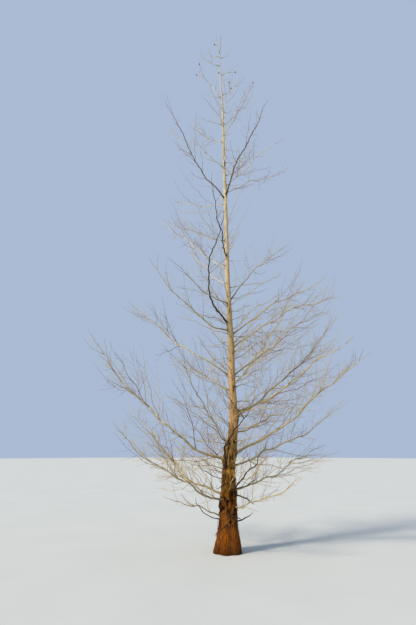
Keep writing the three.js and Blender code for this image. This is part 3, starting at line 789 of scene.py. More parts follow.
def grow_solid_twigs(lines):
    """Each limb's main twigs, in the order and with the tests of the solid tree."""
    standing = Standing()
    guard = np.linspace(0, HEIGHT, TRUNK_STEPS + 1)
    standing.add(trunk_middle(guard), TRUNK_GUARD * trunk_width(guard), len(LIMBS))
    stems = []
    for i, line in enumerate(lines):
        split = BOUGH_SHARE if i < len(BOUGHS) else 0.0
        steps = max(LEAST_STEM_STEPS, math.floor(line.length * (1 - split) / STEM_STEP + 0.5))
        places, widths = stations(line, split, 1, steps)
        if split:
            slope = line.at(split + SLOPE_STEP) - line.at(split - SLOPE_STEP)
            places[0] += SEAT * unit(slope)
            standing.add(*stations(line, 0, split, BOUGH_STEPS), len(LIMBS) + 1 + i)
        standing.add(places, widths, i)
        stems.append((places, widths, split))
    twigs = []
    for i, (places, widths, split) in enumerate(stems):
        line = lines[i]
        whole = np.linalg.norm(np.diff(places, axis=0), axis=1).sum()
        clear = (trunk_width(line.limb.base) / 2 + SIDE_TWIGS.least) / line.limb.reach
        first = FIRST_TWIG / whole if split else min(max(clear, FIRST_SHARES[0]), FIRST_SHARES[1])
        on_wood = lambda part, line=line, split=split: line.at([mix(split, 1, part)], kinked=True)
        draw = draws(TWIG_SEED + i)
        grown = grow(places, widths, first, SIDE_TWIGS, i, draw, FINE_TWIGS, on_wood, standing)
        mass = np.concatenate(grown) if grown else np.zeros(0, SHOOT)
        mass["limb"] = i
        twigs.append(mass)
    return twigs, standing


# Finer shoots, many at once

def sprout(paths, widths, lengths, first, rule, rng):
    """Pairs of shoots along many paths at once. paths has a row of places for each bearer, evenly spaced by
    share. Returns the shoots and the number of the bearer of each."""
    pairs = np.maximum(0, (lengths * (LAST_TWIG - first) / rule.gap)).astype(int)
    bearer = np.repeat(np.arange(len(paths)), 2 * pairs)
    order = np.arange(len(bearer)) - np.repeat(np.cumsum(2 * pairs) - 2 * pairs, 2 * pairs)
    jitter = np.repeat(rng.random((len(bearer) + 1) // 2), 2)[: len(bearer)]
    share = first[bearer] + (order // 2 + jitter) * rule.gap / lengths[bearer]
    side = np.where(order % 2, 1, -1)
    chosen = rng.random(len(bearer))
    size = rule.share * (lengths[bearer] * (1 - share) + rule.least)
    length = np.clip(size * mix(*LENGTH_SPREAD, rng.random(len(bearer))), rule.least, rule.most)
    chance = rng.random((len(bearer), 6))
    place = share * (paths.shape[1] - 1)
    i = np.clip(place.astype(int), 0, paths.shape[1] - 2)
    part = place - i
    low, high = paths[bearer, i], paths[bearer, i + 1]
    width = mix(widths[bearer, i], widths[bearer, i + 1], part)
    at = mix(low, high, part[:, None])
    shoots = start_shoots(at, unit(high - low), width, side, rule, length, chance)
    shoots["share"] = share
    height = np.clip((at[:, 2] - CROWN_LOW) / (CROWN_TOP - CROWN_LOW), 0, 1)
    kept = (chosen < rule.kept * mix(1, rule.high, height)) & (share < LAST_TWIG)
    return shoots[kept], bearer[kept]


def shoot_paths(shoots, steps):
    """Places, widths and true lengths of shoots, at even shares of the way."""
    share = np.linspace(0, 1, steps + 1)
    places = shoots_at(shoots, share, kinked=True)
    tip = np.minimum(TWIG_TIP_WIDTH, TIP_SHARE * shoots["width"])[:, None]
    widths = mix(shoots["width"][:, None], tip, share)
    return places, widths, np.linalg.norm(np.diff(places, axis=1), axis=2).sum(1)


def keep_clear(shoots, boxes, standing):
    """The shoots that stay in the space of their limb's mass, off the ground, and clear of what stands."""
    places = shoots_at(shoots, CLEAR_SHARES)
    low, high = boxes[:, 0][shoots["limb"]], boxes[:, 1][shoots["limb"]]
    inside = ((places > low[:, None]) & (places < high[:, None])).all(axis=(1, 2))
    clear = inside & (places[..., 2].min(1) > GROUND_CLEARANCE)
    for limb in range(len(boxes)):
        mine = np.flatnonzero(clear & (shoots["limb"] == limb))
        if len(mine):
            probes = places[mine][:, 1:].reshape(-1, 3)
            gaps = standing.gaps(probes, np.zeros(len(probes)), limb if limb < len(LIMBS) else NO_OWNER)
            clear[mine] = gaps.reshape(-1, 2).min(1) > 0
    return shoots[clear]


# Skins: rings of points carried along a path

def closed_skins(rims, roots, tips):
    """Faces over many stacks of rings at once: quads join each ring to the next, and a fan closes each end
    on its point in roots and in tips. The quads come first, then the fans of the roots, then of the tips."""
    count, rings, sides, _ = rims.shape
    number = np.arange(count * rings * sides).reshape(count, rings, sides)
    beside = np.roll(number, -1, axis=2)
    quads = np.stack([number[:, :-1], beside[:, :-1], beside[:, 1:], number[:, 1:]], -1).reshape(-1, 4)
    root = np.broadcast_to(number.size + np.arange(count)[:, None], (count, sides))
    base = np.stack([root, beside[:, 0], number[:, 0]], -1)
    end = np.stack([root + count, number[:, -1], beside[:, -1]], -1)
    points = np.concatenate([rims.reshape(-1, 3), roots, tips])
    return points, quads, np.concatenate([base, end]).reshape(-1, 3)


def square_frames(places, first=None):
    """Two directions square to each path at each of its places. The first is carried from place to place by
    taking out its part along the path, and the second is the cross of the path and the first."""
    along = unit(np.gradient(places, axis=1))
    if first is None:
        steep = np.abs(along[:, :1, 2:]) > STEEP
        first = np.where(steep, [1.0, 0.0, 0.0], UP)[:, 0]
    firsts = np.empty_like(places)
    for ring in range(places.shape[1]):
        first = unit(first - (first * along[:, ring]).sum(-1, keepdims=True) * along[:, ring])
        firsts[:, ring] = first
    return along, firsts, np.cross(along, firsts)


def tubes(places, radii, sides, tip_reach=0.0, first=None):
    """Closed tubes along many paths at once: at each place, a ring of points at the radius, which may have a
    value for each side. The tip's point stands tip_reach radii past the end. Also gives each point's grain,
    its place in the wood: across by the radius and the turn, and the distance along."""
    along, across, up = square_frames(places, first)
    turn = 2 * math.pi * np.arange(sides) / sides
    if radii.ndim == 2:
        radii = np.broadcast_to(radii[..., None], radii.shape + (sides,))
    flat = radii[..., None] * np.stack([np.cos(turn), np.sin(turn)], -1)
    rims = places[:, :, None] + flat[..., :1] * across[:, :, None] + flat[..., 1:] * up[:, :, None]
    tips = places[:, -1] + along[:, -1] * tip_reach * radii[:, -1].mean(-1)[:, None]
    steps = np.linalg.norm(np.diff(places, axis=1), axis=2)
    distance = np.concatenate([np.zeros((len(places), 1)), np.cumsum(steps, axis=1)], 1)
    down = np.broadcast_to(distance[:, :, None, None], flat.shape[:-1] + (1,))
    grain = np.concatenate([flat, down], -1).reshape(-1, 3)
    ends = np.zeros((2 * len(places), 3))
    ends[len(places):, 2] = distance[:, -1]
    points, quads, fans = closed_skins(rims, places[:, 0], tips)
    return points, quads, fans, np.concatenate([grain, ends])


def join(skins):
    """Several skins as one: their points one after the other, and their faces counted on."""
    start = np.cumsum([0] + [len(skin[0]) for skin in skins[:-1]])
    points = np.concatenate([skin[0] for skin in skins])
    quads = np.concatenate([skin[1] + n for skin, n in zip(skins, start)])
    fans = np.concatenate([skin[2] + n for skin, n in zip(skins, start)])
    return points, quads, fans, np.concatenate([skin[3] for skin in skins])


def spread_tints(tints, rings, sides):
    """The tint of each face of a batch of tubes, in the order of their faces."""
    ends = np.repeat(tints, sides)
    return np.concatenate([np.repeat(tints, (rings - 1) * sides), ends, ends])


def put(name, data):
    """An object with its mesh, camera or light, in the scene."""
    made = bpy.data.objects.new(name, data)
    bpy.context.scene.collection.objects.link(made)
    return made


def make_piece(name, skin, materials, nodes, marks=None, tints=None):
    """A mesh object from a skin: smooth sides, flat ends, the grain and any marks as attributes of its
    points, and a material for each face by its tint. It rides on the tree and stands for the nodes."""
    points, quads, fans, grain = skin
    mesh = bpy.data.meshes.new(name)
    corners = np.concatenate([quads.ravel(), fans.ravel()]).astype(np.int32)
    starts = np.concatenate([4 * np.arange(len(quads)), 4 * len(quads) + 3 * np.arange(len(fans))])
    mesh.vertices.add(len(points))
    mesh.vertices.foreach_set("co", points.astype(np.float32).ravel())
    mesh.loops.add(len(corners))
    mesh.loops.foreach_set("vertex_index", corners)
    mesh.polygons.add(len(starts))
    mesh.polygons.foreach_set("loop_start", starts.astype(np.int32))
    mesh.polygons.foreach_set("use_smooth", np.arange(len(starts)) < len(quads))
    if tints is not None:
        mesh.polygons.foreach_set("material_index", tints.astype(np.int32))
    mesh.update(calc_edges=True)
    wood = mesh.attributes.new("grain", "FLOAT_VECTOR", "POINT")
    wood.data.foreach_set("vector", grain.astype(np.float32).ravel())
    for mark, values in (marks or {}).items():
        mesh.attributes.new(mark, "FLOAT", "POINT").data.foreach_set("value", values.astype(np.float32))
    for material in materials:
        mesh.materials.append(material)
    made = put(name, mesh)
    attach(made, "root")
    if nodes:
        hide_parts(*nodes)


# Materials

MIX_A, MIX_B = 6, 7  # a Mix node's inputs for its two colours


def linear(colour):
    """An sRGB hex colour as linear light, by the sRGB curve."""
    shown = [int(colour[i:i + 2], 16) / 255 for i in (1, 3, 5)]
    return [c / 12.92 if c <= 0.04045 else ((c + 0.055) / 1.055) ** 2.4 for c in shown] + [1.0]


def new_material(name):
    """A material, its node tree and the shader in it."""
    material = bpy.data.materials.new(name)
    material.use_nodes = True
    tree = material.node_tree
    return material, tree, tree.nodes["Principled BSDF"]


def feed(tree, node, inputs):
    """Sets each input of a node to its value, or links it where that is another node's output. The inputs are
    a list in the node's own order, or go by name."""
    for name, value in inputs.items() if isinstance(inputs, dict) else enumerate(inputs):
        if isinstance(value, bpy.types.NodeSocket):
            tree.links.new(value, node.inputs[name])
        else:
            node.inputs[name].default_value = value


def add(tree, kind, inputs=(), gives=None, **settings):
    """Adds a node and returns the output that gives names, or else its first one in use."""
    node = tree.nodes.new("ShaderNode" + kind)
    for name, value in settings.items():
        setattr(node, name, value)
    feed(tree, node, inputs)
    return node.outputs[gives] if gives else next(output for output in node.outputs if output.enabled)


def grain_noise(tree, across, along, detail, roughness=0.5):
    """Noise drawn out along the wood: its size in mm across the grain and along it."""
    grain = add(tree, "Attribute", gives="Vector", attribute_name="grain")
    scale = [1 / (size * MM) for size in (across, across, along)]
    way = add(tree, "Mapping", {"Vector": grain, "Scale": scale})
    return add(tree, "TexNoise", {"Vector": way, "Scale": 1.0, "Detail": detail, "Roughness": roughness})


BARK_BY_HEIGHT = [  # height, colour of the ridges, colour of the furrows; the darkest foot and furrows are partly painted shade
    (0.0, "#4e2a04", "#2c1402"),
    (0.12, "#7c440c", "#402006"),
    (0.28, "#a25a10", "#4e2608"),
    (0.5, "#b06c24", "#341806"),
    (0.75, "#a0641c", "#160a02"),
    (1.0, "#94621e", "#1a0d03"),
    (1.3, "#d29844", "#1c0f04"),
    (1.55, "#c8964a", "#2c1a08"),
    (1.85, "#d2a462", "#5a3e1e"),
    (2.1, "#dab07a", "#74562e"),
    (2.6, "#cea878", "#866840"),
    (3.2, "#c9ab7c", "#8c7044"),
    (4.0, "#cfb88c", "#9a835a"),
    (5.0, "#dac69e", "#967c50"),
    (6.0, "#e2d2ae", "#988658"),
    (8.0, "#e2d6b0", "#6e6132"),
    (9.5, "#e0d6be", "#a4946c"),
    (10.2, "#d8c6ae", "#a08a74"),
    (HEIGHT, "#b08a78", "#7c4c44"),
]


def colour_by_height(tree, column):
    """The colour of the bark's ridges, column 1, or of its furrows, column 2, blended by the height."""
    place = add(tree, "TexCoord", gives="Object")
    height = add(tree, "SeparateXYZ", [place], gives="Z")
    share = add(tree, "MapRange", {"Value": height, "From Max": HEIGHT})
    ramp = add(tree, "ValToRGB", [share])
    elements = ramp.node.color_ramp.elements
    for i, row in enumerate(BARK_BY_HEIGHT):
        element = elements[i] if i < 2 else elements.new(row[0] / HEIGHT)
        element.position = row[0] / HEIGHT
        element.color = linear(row[column])
    return ramp


def trunk_bark():
    """Dawn redwood bark, fibrous and shedding in long strips. At the foot the eye sees orange-brown ribs with
    painted shade between them, then dark olive-brown bark whose furrows are darkened partly in its own colour
    and partly as painted shade, and whose hollows, knots and limb feet are darkened near black as painted
    shade. Higher up it is younger, tighter and straw-coloured. Its fibres lie in streaks 7 mm wide, as finer
    ones would not show, and it is worn and stained in patches."""
    material, tree, shader = new_material("fibrous_redwood_bark")
    fibre = grain_noise(tree, 7, 120, 5.0, 0.62)
    patch = grain_noise(tree, 90, 260, 3.0)
    blotch = grain_noise(tree, 45, 60, 4.0, 0.6)
    furrow = add(tree, "Attribute", gives="Fac", attribute_name="furrow")
    hollow = add(tree, "Attribute", gives="Fac", attribute_name="hollow")
    ridges, furrows = colour_by_height(tree, 1), colour_by_height(tree, 2)
    streak = add(tree, "MapRange", [fibre, 0.36, 0.68, 0.62, -0.05])
    worn = add(tree, "MapRange", [patch, 0.5, 0.75, 0.0, 0.16])
    darkening = add(tree, "MapRange", [blotch, 0.5, 0.66, 0.0, 0.7])
    # the furrow mark darkens furrows and cracks, partly as painted shade, and the ground between ribs as
    # painted shade
    sunk = add(tree, "Math", [furrow, streak], operation="MAXIMUM", use_clamp=True)
    body = add(tree, "Mix", {"Factor": sunk, MIX_A: ridges, MIX_B: furrows}, data_type="RGBA")
    aged = add(tree, "Mix", {"Factor": worn, MIX_A: body, MIX_B: linear("#7c6f4e")}, data_type="RGBA")
    marked = add(tree, "Mix", {"Factor": darkening, MIX_A: aged, MIX_B: furrows}, data_type="RGBA")
    # painted shade: hollows, knots and limb feet darkened towards near black
    painted_hollow_shade = add(tree, "Mix", {"Factor": hollow, MIX_A: marked, MIX_B: linear("#170d05")}, data_type="RGBA")
    bump = add(tree, "Bump", {"Height": fibre, "Strength": 0.75, "Distance": 3 * MM})
    feed(tree, shader, {"Base Color": painted_hollow_shade, "Normal": bump, "Roughness": 0.95, "Specular IOR Level": 0.06})
    return material


def limb_bark(name, pale, dark, scaly, weathered="#8b8a68", old="#5e4220"):
    """Bark of boughs and branches, a thin skin that cracks lengthways. The eye sees straw and ochre with grey
    and greenish weathering, redder, rougher and darker in patches out to scaly metres from the trunk, where
    the darkening is partly older bark and partly painted shade."""
    material, tree, shader = new_material(name)
    crack = grain_noise(tree, 4, 45, 4.0, 0.6)
    grain = add(tree, "Attribute", gives="Vector", attribute_name="grain")
    down = add(tree, "SeparateXYZ", [grain], gives="Z")
    place = add(tree, "TexCoord", gives="Object")
    patch = add(tree, "TexNoise", {"Vector": place, "Scale": 1 / (110 * MM), "Detail": 4.0})
    weather = add(tree, "TexNoise", {"Vector": place, "Scale": 1 / (55 * MM), "Detail": 2.0})
    shaded = add(tree, "MapRange", [crack, 0.4, 0.66, 0.75, 0.0])
    grey = add(tree, "MapRange", [weather, 0.5, 0.72, 0.0, 0.5])
    near = add(tree, "MapRange", [down, 0.05, scaly, 1.5, 0.0])
    near_trunk_darkening = add(tree, "Math", [near, patch], operation="MULTIPLY", use_clamp=True)
    body = add(tree, "Mix", {"Factor": shaded, MIX_A: linear(pale), MIX_B: linear(dark)}, data_type="RGBA")
    mossy = add(tree, "Mix", {"Factor": grey, MIX_A: body, MIX_B: linear(weathered)}, data_type="RGBA")
    # the old colour near the trunk is partly older bark and partly painted shade
    aged = add(tree, "Mix", {"Factor": near_trunk_darkening, MIX_A: mossy, MIX_B: linear(old)}, data_type="RGBA")
    bump = add(tree, "Bump", {"Height": crack, "Strength": 0.6, "Distance": 1.2 * MM})
    feed(tree, shader, {"Base Color": aged, "Normal": bump, "Roughness": 0.82, "Specular IOR Level": 0.3})
    return material


# Tints of the twigs, with the chance of each low in the crown and at its top
TWIG_TINTS = {
    "straw": ("#b8a266", 0.46, 0.12),
    "tan": ("#9c7f4c", 0.34, 0.2),
    "red_brown": ("#835040", 0.1, 0.2),
    "rosy": ("#a66f6c", 0.0, 0.42),
    "dark": ("#55392c", 0.1, 0.06),
}
TINT_NAMES = list(TWIG_TINTS)
TINTS_LOW, TINTS_HIGH = 4.5, 8.0  # heights between which those chances change
OWN_TINT = 0.15  # share of the finer shoots that don't take their bearer's tint


def twig_bark(tint):
    """Bark of young twigs, smooth and tight. Each twig's colour is one plain tint, with a soft sheen that the
    fine lengthways wrinkles break up."""
    material, tree, shader = new_material("young_twig_bark_" + tint)
    wrinkle = grain_noise(tree, 1.2, 14, 2.0)
    bump = add(tree, "Bump", {"Height": wrinkle, "Strength": 0.5, "Distance": 0.4 * MM})
    feed(tree, shader, {"Base Color": linear(TWIG_TINTS[tint][0]), "Normal": bump, "Roughness": 0.62})
    return material


def bud_scales():
    """Winter bud scales, papery and close, in a pale warm brown that catches the light at each twig's end."""
    material, tree, shader = new_material("papery_bud_scales")
    grit = grain_noise(tree, 1.5, 1.5, 1.0)
    bump = add(tree, "Bump", {"Height": grit, "Strength": 0.5, "Distance": 0.4 * MM})
    feed(tree, shader, {"Base Color": linear("#a8714c"), "Normal": bump, "Roughness": 0.55})
    return material


def cone_scales():
    """Woody cone scales, weathered to a mottled dark purple-brown, with paler lips."""
    material, tree, shader = new_material("weathered_cone_scales")
    lip = add(tree, "Attribute", gives="Fac", attribute_name="lip")
    place = add(tree, "TexCoord", gives="Object")
    mottle = add(tree, "TexNoise", {"Vector": place, "Scale": 1 / (3 * MM), "Detail": 3.0})
    dark, light = linear("#2f1c1a"), linear("#5a3630")
    wood = add(tree, "Mix", {"Factor": mottle, MIX_A: dark, MIX_B: light}, data_type="RGBA")
    lipped = add(tree, "Mix", {"Factor": lip, MIX_A: wood, MIX_B: linear("#7a5548")}, data_type="RGBA")
    bump = add(tree, "Bump", {"Height": mottle, "Strength": 0.6, "Distance": 0.6 * MM})
    feed(tree, shader, {"Base Color": lipped, "Normal": bump, "Roughness": 0.75})
    return material


def loose_bark():
    """Shreds of dead outer bark, dry and fibrous, in the colours of the bark that they lift from."""
    material, tree, shader = new_material("dry_bark_shreds")
    fibre = grain_noise(tree, 1.5, 30, 3.0)
    ridges, furrows = colour_by_height(tree, 1), colour_by_height(tree, 2)
    colour = add(tree, "Mix", {"Factor": fibre, MIX_A: ridges, MIX_B: furrows}, data_type="RGBA")
    bump = add(tree, "Bump", {"Height": fibre, "Strength": 0.6, "Distance": 0.6 * MM})
    feed(tree, shader, {"Base Color": colour, "Normal": bump, "Roughness": 0.95})
    return material


# The pieces of the tree

def trunk_skin(low, high, columns, rings):
    """The trunk between two heights: rings round its middle at the trunk's radius plus the bark's relief."""
    z = np.linspace(low, high, rings)[:, None]
    turn = 2 * math.pi * np.arange(columns) / columns
    relief, furrow, hollow = bark_relief(z, turn)
    radius = trunk_radius(z, turn) + relief
    middle = trunk_middle(z[:, 0])
    flat = radius[..., None] * np.stack([np.cos(turn), np.sin(turn)], -1)
    rims = middle[:, None] + np.concatenate([flat, np.zeros((rings, columns, 1))], -1)
    points, quads, fans = closed_skins(rims[None], middle[:1], middle[-1:])
    down = np.broadcast_to(z[..., None], (rings, columns, 1))
    grain = np.concatenate([np.concatenate([flat, down], -1).reshape(-1, 3), middle[[0, -1]] * UP])
    # the furrow mark is partly painted shade, and the hollow mark is painted shade
    marks = {"furrow": np.append(furrow, [0, 0]), "hollow": np.append(hollow, [0, 0])}
    return (points, quads, fans, grain), marks


def make_trunk(bark):
    """The trunk's skin in two lengths, the foot with more columns for its deeper bark."""
    for name, low, high, columns, rings in (
        ("trunk_foot", 0.0, SEAM, FOOT_COLUMNS, FOOT_RINGS),
        ("trunk_stem", SEAM, HEIGHT, STEM_COLUMNS, STEM_RINGS),
    ):
        skin, marks = trunk_skin(low, high, columns, rings)
        make_piece(name, skin, [bark], ["trunk"], marks)


def bark_relief_at(z, turns):
    """The bark's relief at scattered places: read off a fine grid of it by the nearest column and ring."""
    rings, sides = RELIEF_GRID
    top = LOOSE_TOP + LOOSE_LENGTH[1]
    relief = bark_relief(np.linspace(0, top, rings)[:, None], 2 * math.pi * np.arange(sides) / sides)[0]
    ring = np.clip(np.round(z / top * (rings - 1)).astype(int), 0, rings - 1)
    side = np.round(turns / (2 * math.pi) * sides).astype(int) % sides
    return relief[ring, side]


def make_loose_bark(bark):
    """Shreds that lie along the foot's bark and stand off it at one end: flat tubes whose height off the bark
    grows as the cube of the way along them, and whose width is an arch of a sine."""
    rng = np.random.default_rng(LOOSE_SEED)
    share = np.linspace(0, 1, LOOSE_RINGS)
    low = LOOSE_TOP * rng.random(LOOSE_STRIPS) ** LOOSE_CROWDING
    length = mix(*LOOSE_LENGTH, rng.random(LOOSE_STRIPS))
    turn = 2 * math.pi * rng.random(LOOSE_STRIPS)
    drift = LOOSE_DRIFT * (rng.random(LOOSE_STRIPS) - 0.5)
    lift = mix(*LOOSE_LIFT, rng.random(LOOSE_STRIPS) ** 2)
    upward = rng.random(LOOSE_STRIPS)[:, None] < LOOSE_UPWARD
    z = np.maximum(LOOSE_LOWEST, low[:, None] + length[:, None] * share)
    turns = turn[:, None] + drift[:, None] * share
    free = np.where(upward, share, 1 - share)
    seat = np.maximum(bark_relief_at(z, turns), -LOOSE_BRIDGE) + LOOSE_THICK
    off = trunk_radius(z, turns) + seat + lift[:, None] * free**3
    places = trunk_middle(z) + np.stack([off * np.cos(turns), off * np.sin(turns), 0 * z], -1)
    arch = mix(LOOSE_ENDS, 1, np.sin(math.pi * (0.06 + 0.88 * share)))
    half = mix(*LOOSE_WIDTH, rng.random(LOOSE_STRIPS))[:, None] * arch
    thin = np.full_like(half, LOOSE_THICK)
    radii = np.stack([half, thin, half, thin], -1)
    first = np.stack([-np.sin(turn), np.cos(turn), 0 * turn], -1)
    make_piece("loose_bark", tubes(places, radii, 4, first=first), [bark], ["trunk"])


def limb_skin(line, seed, ring, sides, knots):
    """A limb from inside the trunk to its tip: a tube with low knobbly noise, and a swelling at each knot."""
    inside = line.share_at(LIMB_ROOT * trunk_width(line.limb.base) / 2)
    rings = max(LEAST_RINGS, int(line.length / ring))
    share = np.linspace(inside, 1, rings)
    places = line.at(share, kinked=True)[None]
    width = line.width(np.minimum(share, 1)) * (1 - TIP_THIN * share**TIP_POWER)
    near = np.exp(-(((share[:, None] - knots) * line.length / NODE_LENGTH) ** 2)).sum(1)
    turns = np.arange(sides) / sides
    along = (share * line.length)[:, None]
    rough = 0
    for i, (around, cell, size) in enumerate(KNOBS):
        rough = rough + size * bark_noise(seed + i, around, cell, turns, along)
    radii = (width / 2 * (1 + NODE_SWELL * np.minimum(near, 1)))[:, None] * (1 + rough)
    return tubes(places, radii[None], sides, tip_reach=LIMB_POINT)


def mass_name(i):
    """The solid node of a limb's mass of twigs."""
    return f"{'bough' if i < len(BOUGHS) else 'branch'}_{i + 1:02d}_twigs"


def mass_names(owners):
    """The nodes of the masses of many limbs, each once. Shoots that no solid limb bears have none."""
    return [mass_name(i) for i in sorted(set(int(owner) for owner in owners)) if i < len(LIMBS)]


def cone_twigs(main):
    """Whether each main twig carries a cone: the last ones of each limb that has any."""
    carries = np.zeros(len(main), bool)
    for i, limb in enumerate(LIMBS):
        if limb.cones:
            carries[np.flatnonzero(main["limb"] == i)[-limb.cones:]] = True
    return carries


def make_cones(carriers, scales, stalk):
    """Round woody cones on short stalks below their twigs: a ball whose radius swells at each scale. The
    scales stand four to a row, each row turned half a scale from the last, with grooves between them."""
    turn = 2 * math.pi * np.arange(CONE_COLUMNS) / CONE_COLUMNS
    down = np.linspace(*CONE_ENDS, CONE_RINGS)[:, None]
    row = np.floor(down * CONE_ROWS)
    lobe = np.abs(np.cos(2 * turn + row % 2 * math.pi / 2)) ** SCALE_BLUNT
    groove = np.sin(math.pi * (down * CONE_ROWS - row)) ** ROW_BLUNT
    ball = CONE_WIDTH / 2 * np.sin(math.pi * down) ** CONE_BLUNT
    radius = ball * mix(CONE_GROOVE, 1, lobe * groove)
    height = CONE_STRETCH * CONE_WIDTH / 2 * np.cos(math.pi * down)
    cone = np.stack([radius * np.cos(turn), radius * np.sin(turn), np.broadcast_to(height, radius.shape)], -1)
    held = shoots_at(carriers, [CONE_SEAT], kinked=True)[:, 0]
    middle = held - UP * CONE_WIDTH * CONE_DROP
    pole = UP * CONE_STRETCH * CONE_WIDTH / 2
    rims = middle[:, None, None] + cone[None, ::-1]
    points, quads, fans = closed_skins(rims, middle - pole, middle + pole)
    lip = np.tile((lobe * groove)[::-1].ravel() ** LIP_SHARP, len(middle))
    marks = {"lip": np.append(lip, np.zeros(2 * len(middle)))}
    nodes = mass_names(i for i, limb in enumerate(LIMBS) if limb.cones)
    make_piece("cones", (points, quads, fans, points), [scales], nodes, marks)
    way = np.linspace(0, 1, STALK_RINGS)[:, None]
    stalks = mix(held[:, None], (middle + STALK_END * pole)[:, None], way)
    radii = np.full((len(held), STALK_RINGS), STALK_RADIUS)
    make_piece("cone_stalks", tubes(stalks, radii, STALK_SIDES), [stalk], nodes)


def lots(owners, each):
    """Numbers of many small things, in order of their limbs, in as few lots as keep the triangles of each
    under the most for a piece, at so many triangles for each thing."""
    order = np.argsort(owners, kind="stable")
    return enumerate(np.array_split(order, math.ceil(len(order) * each / MOST_TRIANGLES)), 1)


def make_shoots(name, shoots, steps, sides, barks):
    """Shoots as joined tubes, each with the bark of its tint."""
    for part, some in lots(shoots["limb"], 2 * (steps + 1) * sides):
        batch = shoots[some]
        places, widths, _ = shoot_paths(batch, steps)
        skin = tubes(places, widths / 2, sides, tip_reach=TWIG_POINT)
        tints = spread_tints(batch["tint"], steps + 1, sides)
        make_piece(f"{name}_{part}", skin, barks, mass_names(batch["limb"]), tints=tints)


def make_buds(shoots, pairs_on, scales):
    """Winter buds, each a spindle of two rings: one at the end of each shoot, and pairs along longer ones."""
    rng = np.random.default_rng(BUD_SEED)
    ends = shoots_at(shoots, [1 - BUD_STEP, 1.0], kinked=True)
    way = unit(ends[:, 1] - ends[:, 0])
    at, along, long = [ends[:, 1]], [way], [mix(*END_BUD, rng.random(len(shoots)))]
    for share in BUD_SHARES:
        spots = shoots_at(pairs_on, [share, share + BUD_STEP], kinked=True)
        way = unit(spots[:, 1] - spots[:, 0])
        level = unit(np.cross(way, UP))
        for side in (-1, 1):
            at.append(spots[:, 0] + side * level * BUD_OFF)
            along.append(unit(way + side * BUD_SPREAD * level))
            long.append(mix(*SIDE_BUD, rng.random(len(pairs_on))))
    at, along, long = np.concatenate(at), np.concatenate(along), np.concatenate(long)
    places = at[:, None] + along[:, None] * (long[:, None] * BUD_RINGS)[..., None]
    radii = long[:, None] * BUD_RADII
    owners = np.concatenate([shoots["limb"]] + [pairs_on["limb"]] * 2 * len(BUD_SHARES))
    for part, some in lots(owners, 2 * 2 * BUD_SIDES):
        skin = tubes(places[some], radii[some], BUD_SIDES, tip_reach=BUD_POINT)
        make_piece(f"buds_{part}", skin, [scales], mass_names(owners[some]))


def deal_tints(shoots, rng):
    """Gives each shoot a tint by chance, the likely ones changing from the foot of the crown to its top."""
    high = np.clip((shoots["root"][:, 2] - TINTS_LOW) / (TINTS_HIGH - TINTS_LOW), 0, 1)[:, None]
    at_foot, at_top = np.array([chances for _, *chances in TWIG_TINTS.values()]).T
    chances = np.cumsum(mix(at_foot, at_top, high), axis=1)
    shoots["tint"] = (rng.random(len(shoots))[:, None] > chances).sum(1).clip(0, len(TINT_NAMES) - 1)


def carry_tint(shoots, bearers, number, rng):
    """A finer shoot mostly has its bearer's tint, and now and then one of its own."""
    own = rng.random(len(shoots)) < OWN_TINT
    fresh = shoots.copy()
    deal_tints(fresh, rng)
    shoots["tint"] = np.where(own, fresh["tint"], bearers["tint"][number])


def mass_boxes():
    """The space of each limb's mass, its limb's own with it, and that of the whole tree: the lowest and the
    highest corners of each."""
    boxes = []
    for i in range(len(LIMBS)):
        names = [mass_name(i)] + ([f"bough_{i + 1:02d}"] if i < len(BOUGHS) else [])
        corners = [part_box(name) for name in names]
        low = np.min([np.array(low) for low, _ in corners], axis=0) - MASS_MARGIN
        high = np.max([np.array(high) for _, high in corners], axis=0) + MASS_MARGIN
        boxes.append([low, high])
    whole = np.array([np.array(cad_box[0]) + BOX_EDGE, np.array(cad_box[1]) - BOX_EDGE])
    return np.clip(boxes, *whole), whole


def grow_on(bearers, steps, rule, boxes, standing, rng):
    """The next order of shoots, on bearers that are drawn in a number of steps."""
    places, widths, lengths = shoot_paths(bearers, steps)
    finer, number = sprout(places, widths, lengths, np.full(len(bearers), FIRST_FINER), rule, rng)
    finer["limb"] = bearers["limb"][number]
    carry_tint(finer, bearers, number, rng)
    return keep_clear(finer, boxes, standing)


def inner_lines(standing, rng):
    """Long shoots straight from the low trunk, each turned on from the last, where there is room."""
    lines = []
    for i in range(INNER_SHOOTS):
        chance = rng.random(5)
        base = mix(INNER_LOW, INNER_TOP, (i + chance[0]) / INNER_SHOOTS)
        swing = INNER_SWING * (chance[1] - 0.5)
        reach = mix(*INNER_REACH, chance[2] ** INNER_SHORT)
        rise = mix(*INNER_RISE, chance[3])
        width = mix(*INNER_WIDTH, chance[4])
        limb = Limb(base, INNER_TURN * i % 360, swing, reach, rise, INNER_UPTURN, width)
        line = LimbLine(limb, INNER_SEED + i)
        share = np.linspace((trunk_width(base) / 2 + INNER_ROOM) / reach, 1, INNER_PROBES)
        if standing.gaps(line.at(share), line.width(share), NO_OWNER).min() > 0:
            lines.append(line)
    return lines


def make_forks(lines):
    """The forks of the dark limbs, as shoots that leave their limb at a bearing and a climb in degrees."""
    forks = np.zeros(len(FORKS), SHOOT)
    for fork, (limb, share, bearing, climb, length, width) in zip(forks, FORKS):
        level, turn = math.cos(math.radians(climb)), math.radians(bearing)
        fork["root"] = lines[limb].at(share, kinked=True)
        fork["start"] = (level * math.cos(turn), level * math.sin(turn), math.sin(math.radians(climb)))
        fork["bow"] = FORK_BOW
        fork["length"], fork["lift"], fork["width"] = length, FORK_LIFT, width
        # the forks take the dark tint, painted shade like the limbs that they leave
        fork["limb"], fork["tint"] = limb, TINT_NAMES.index("dark")
    return forks


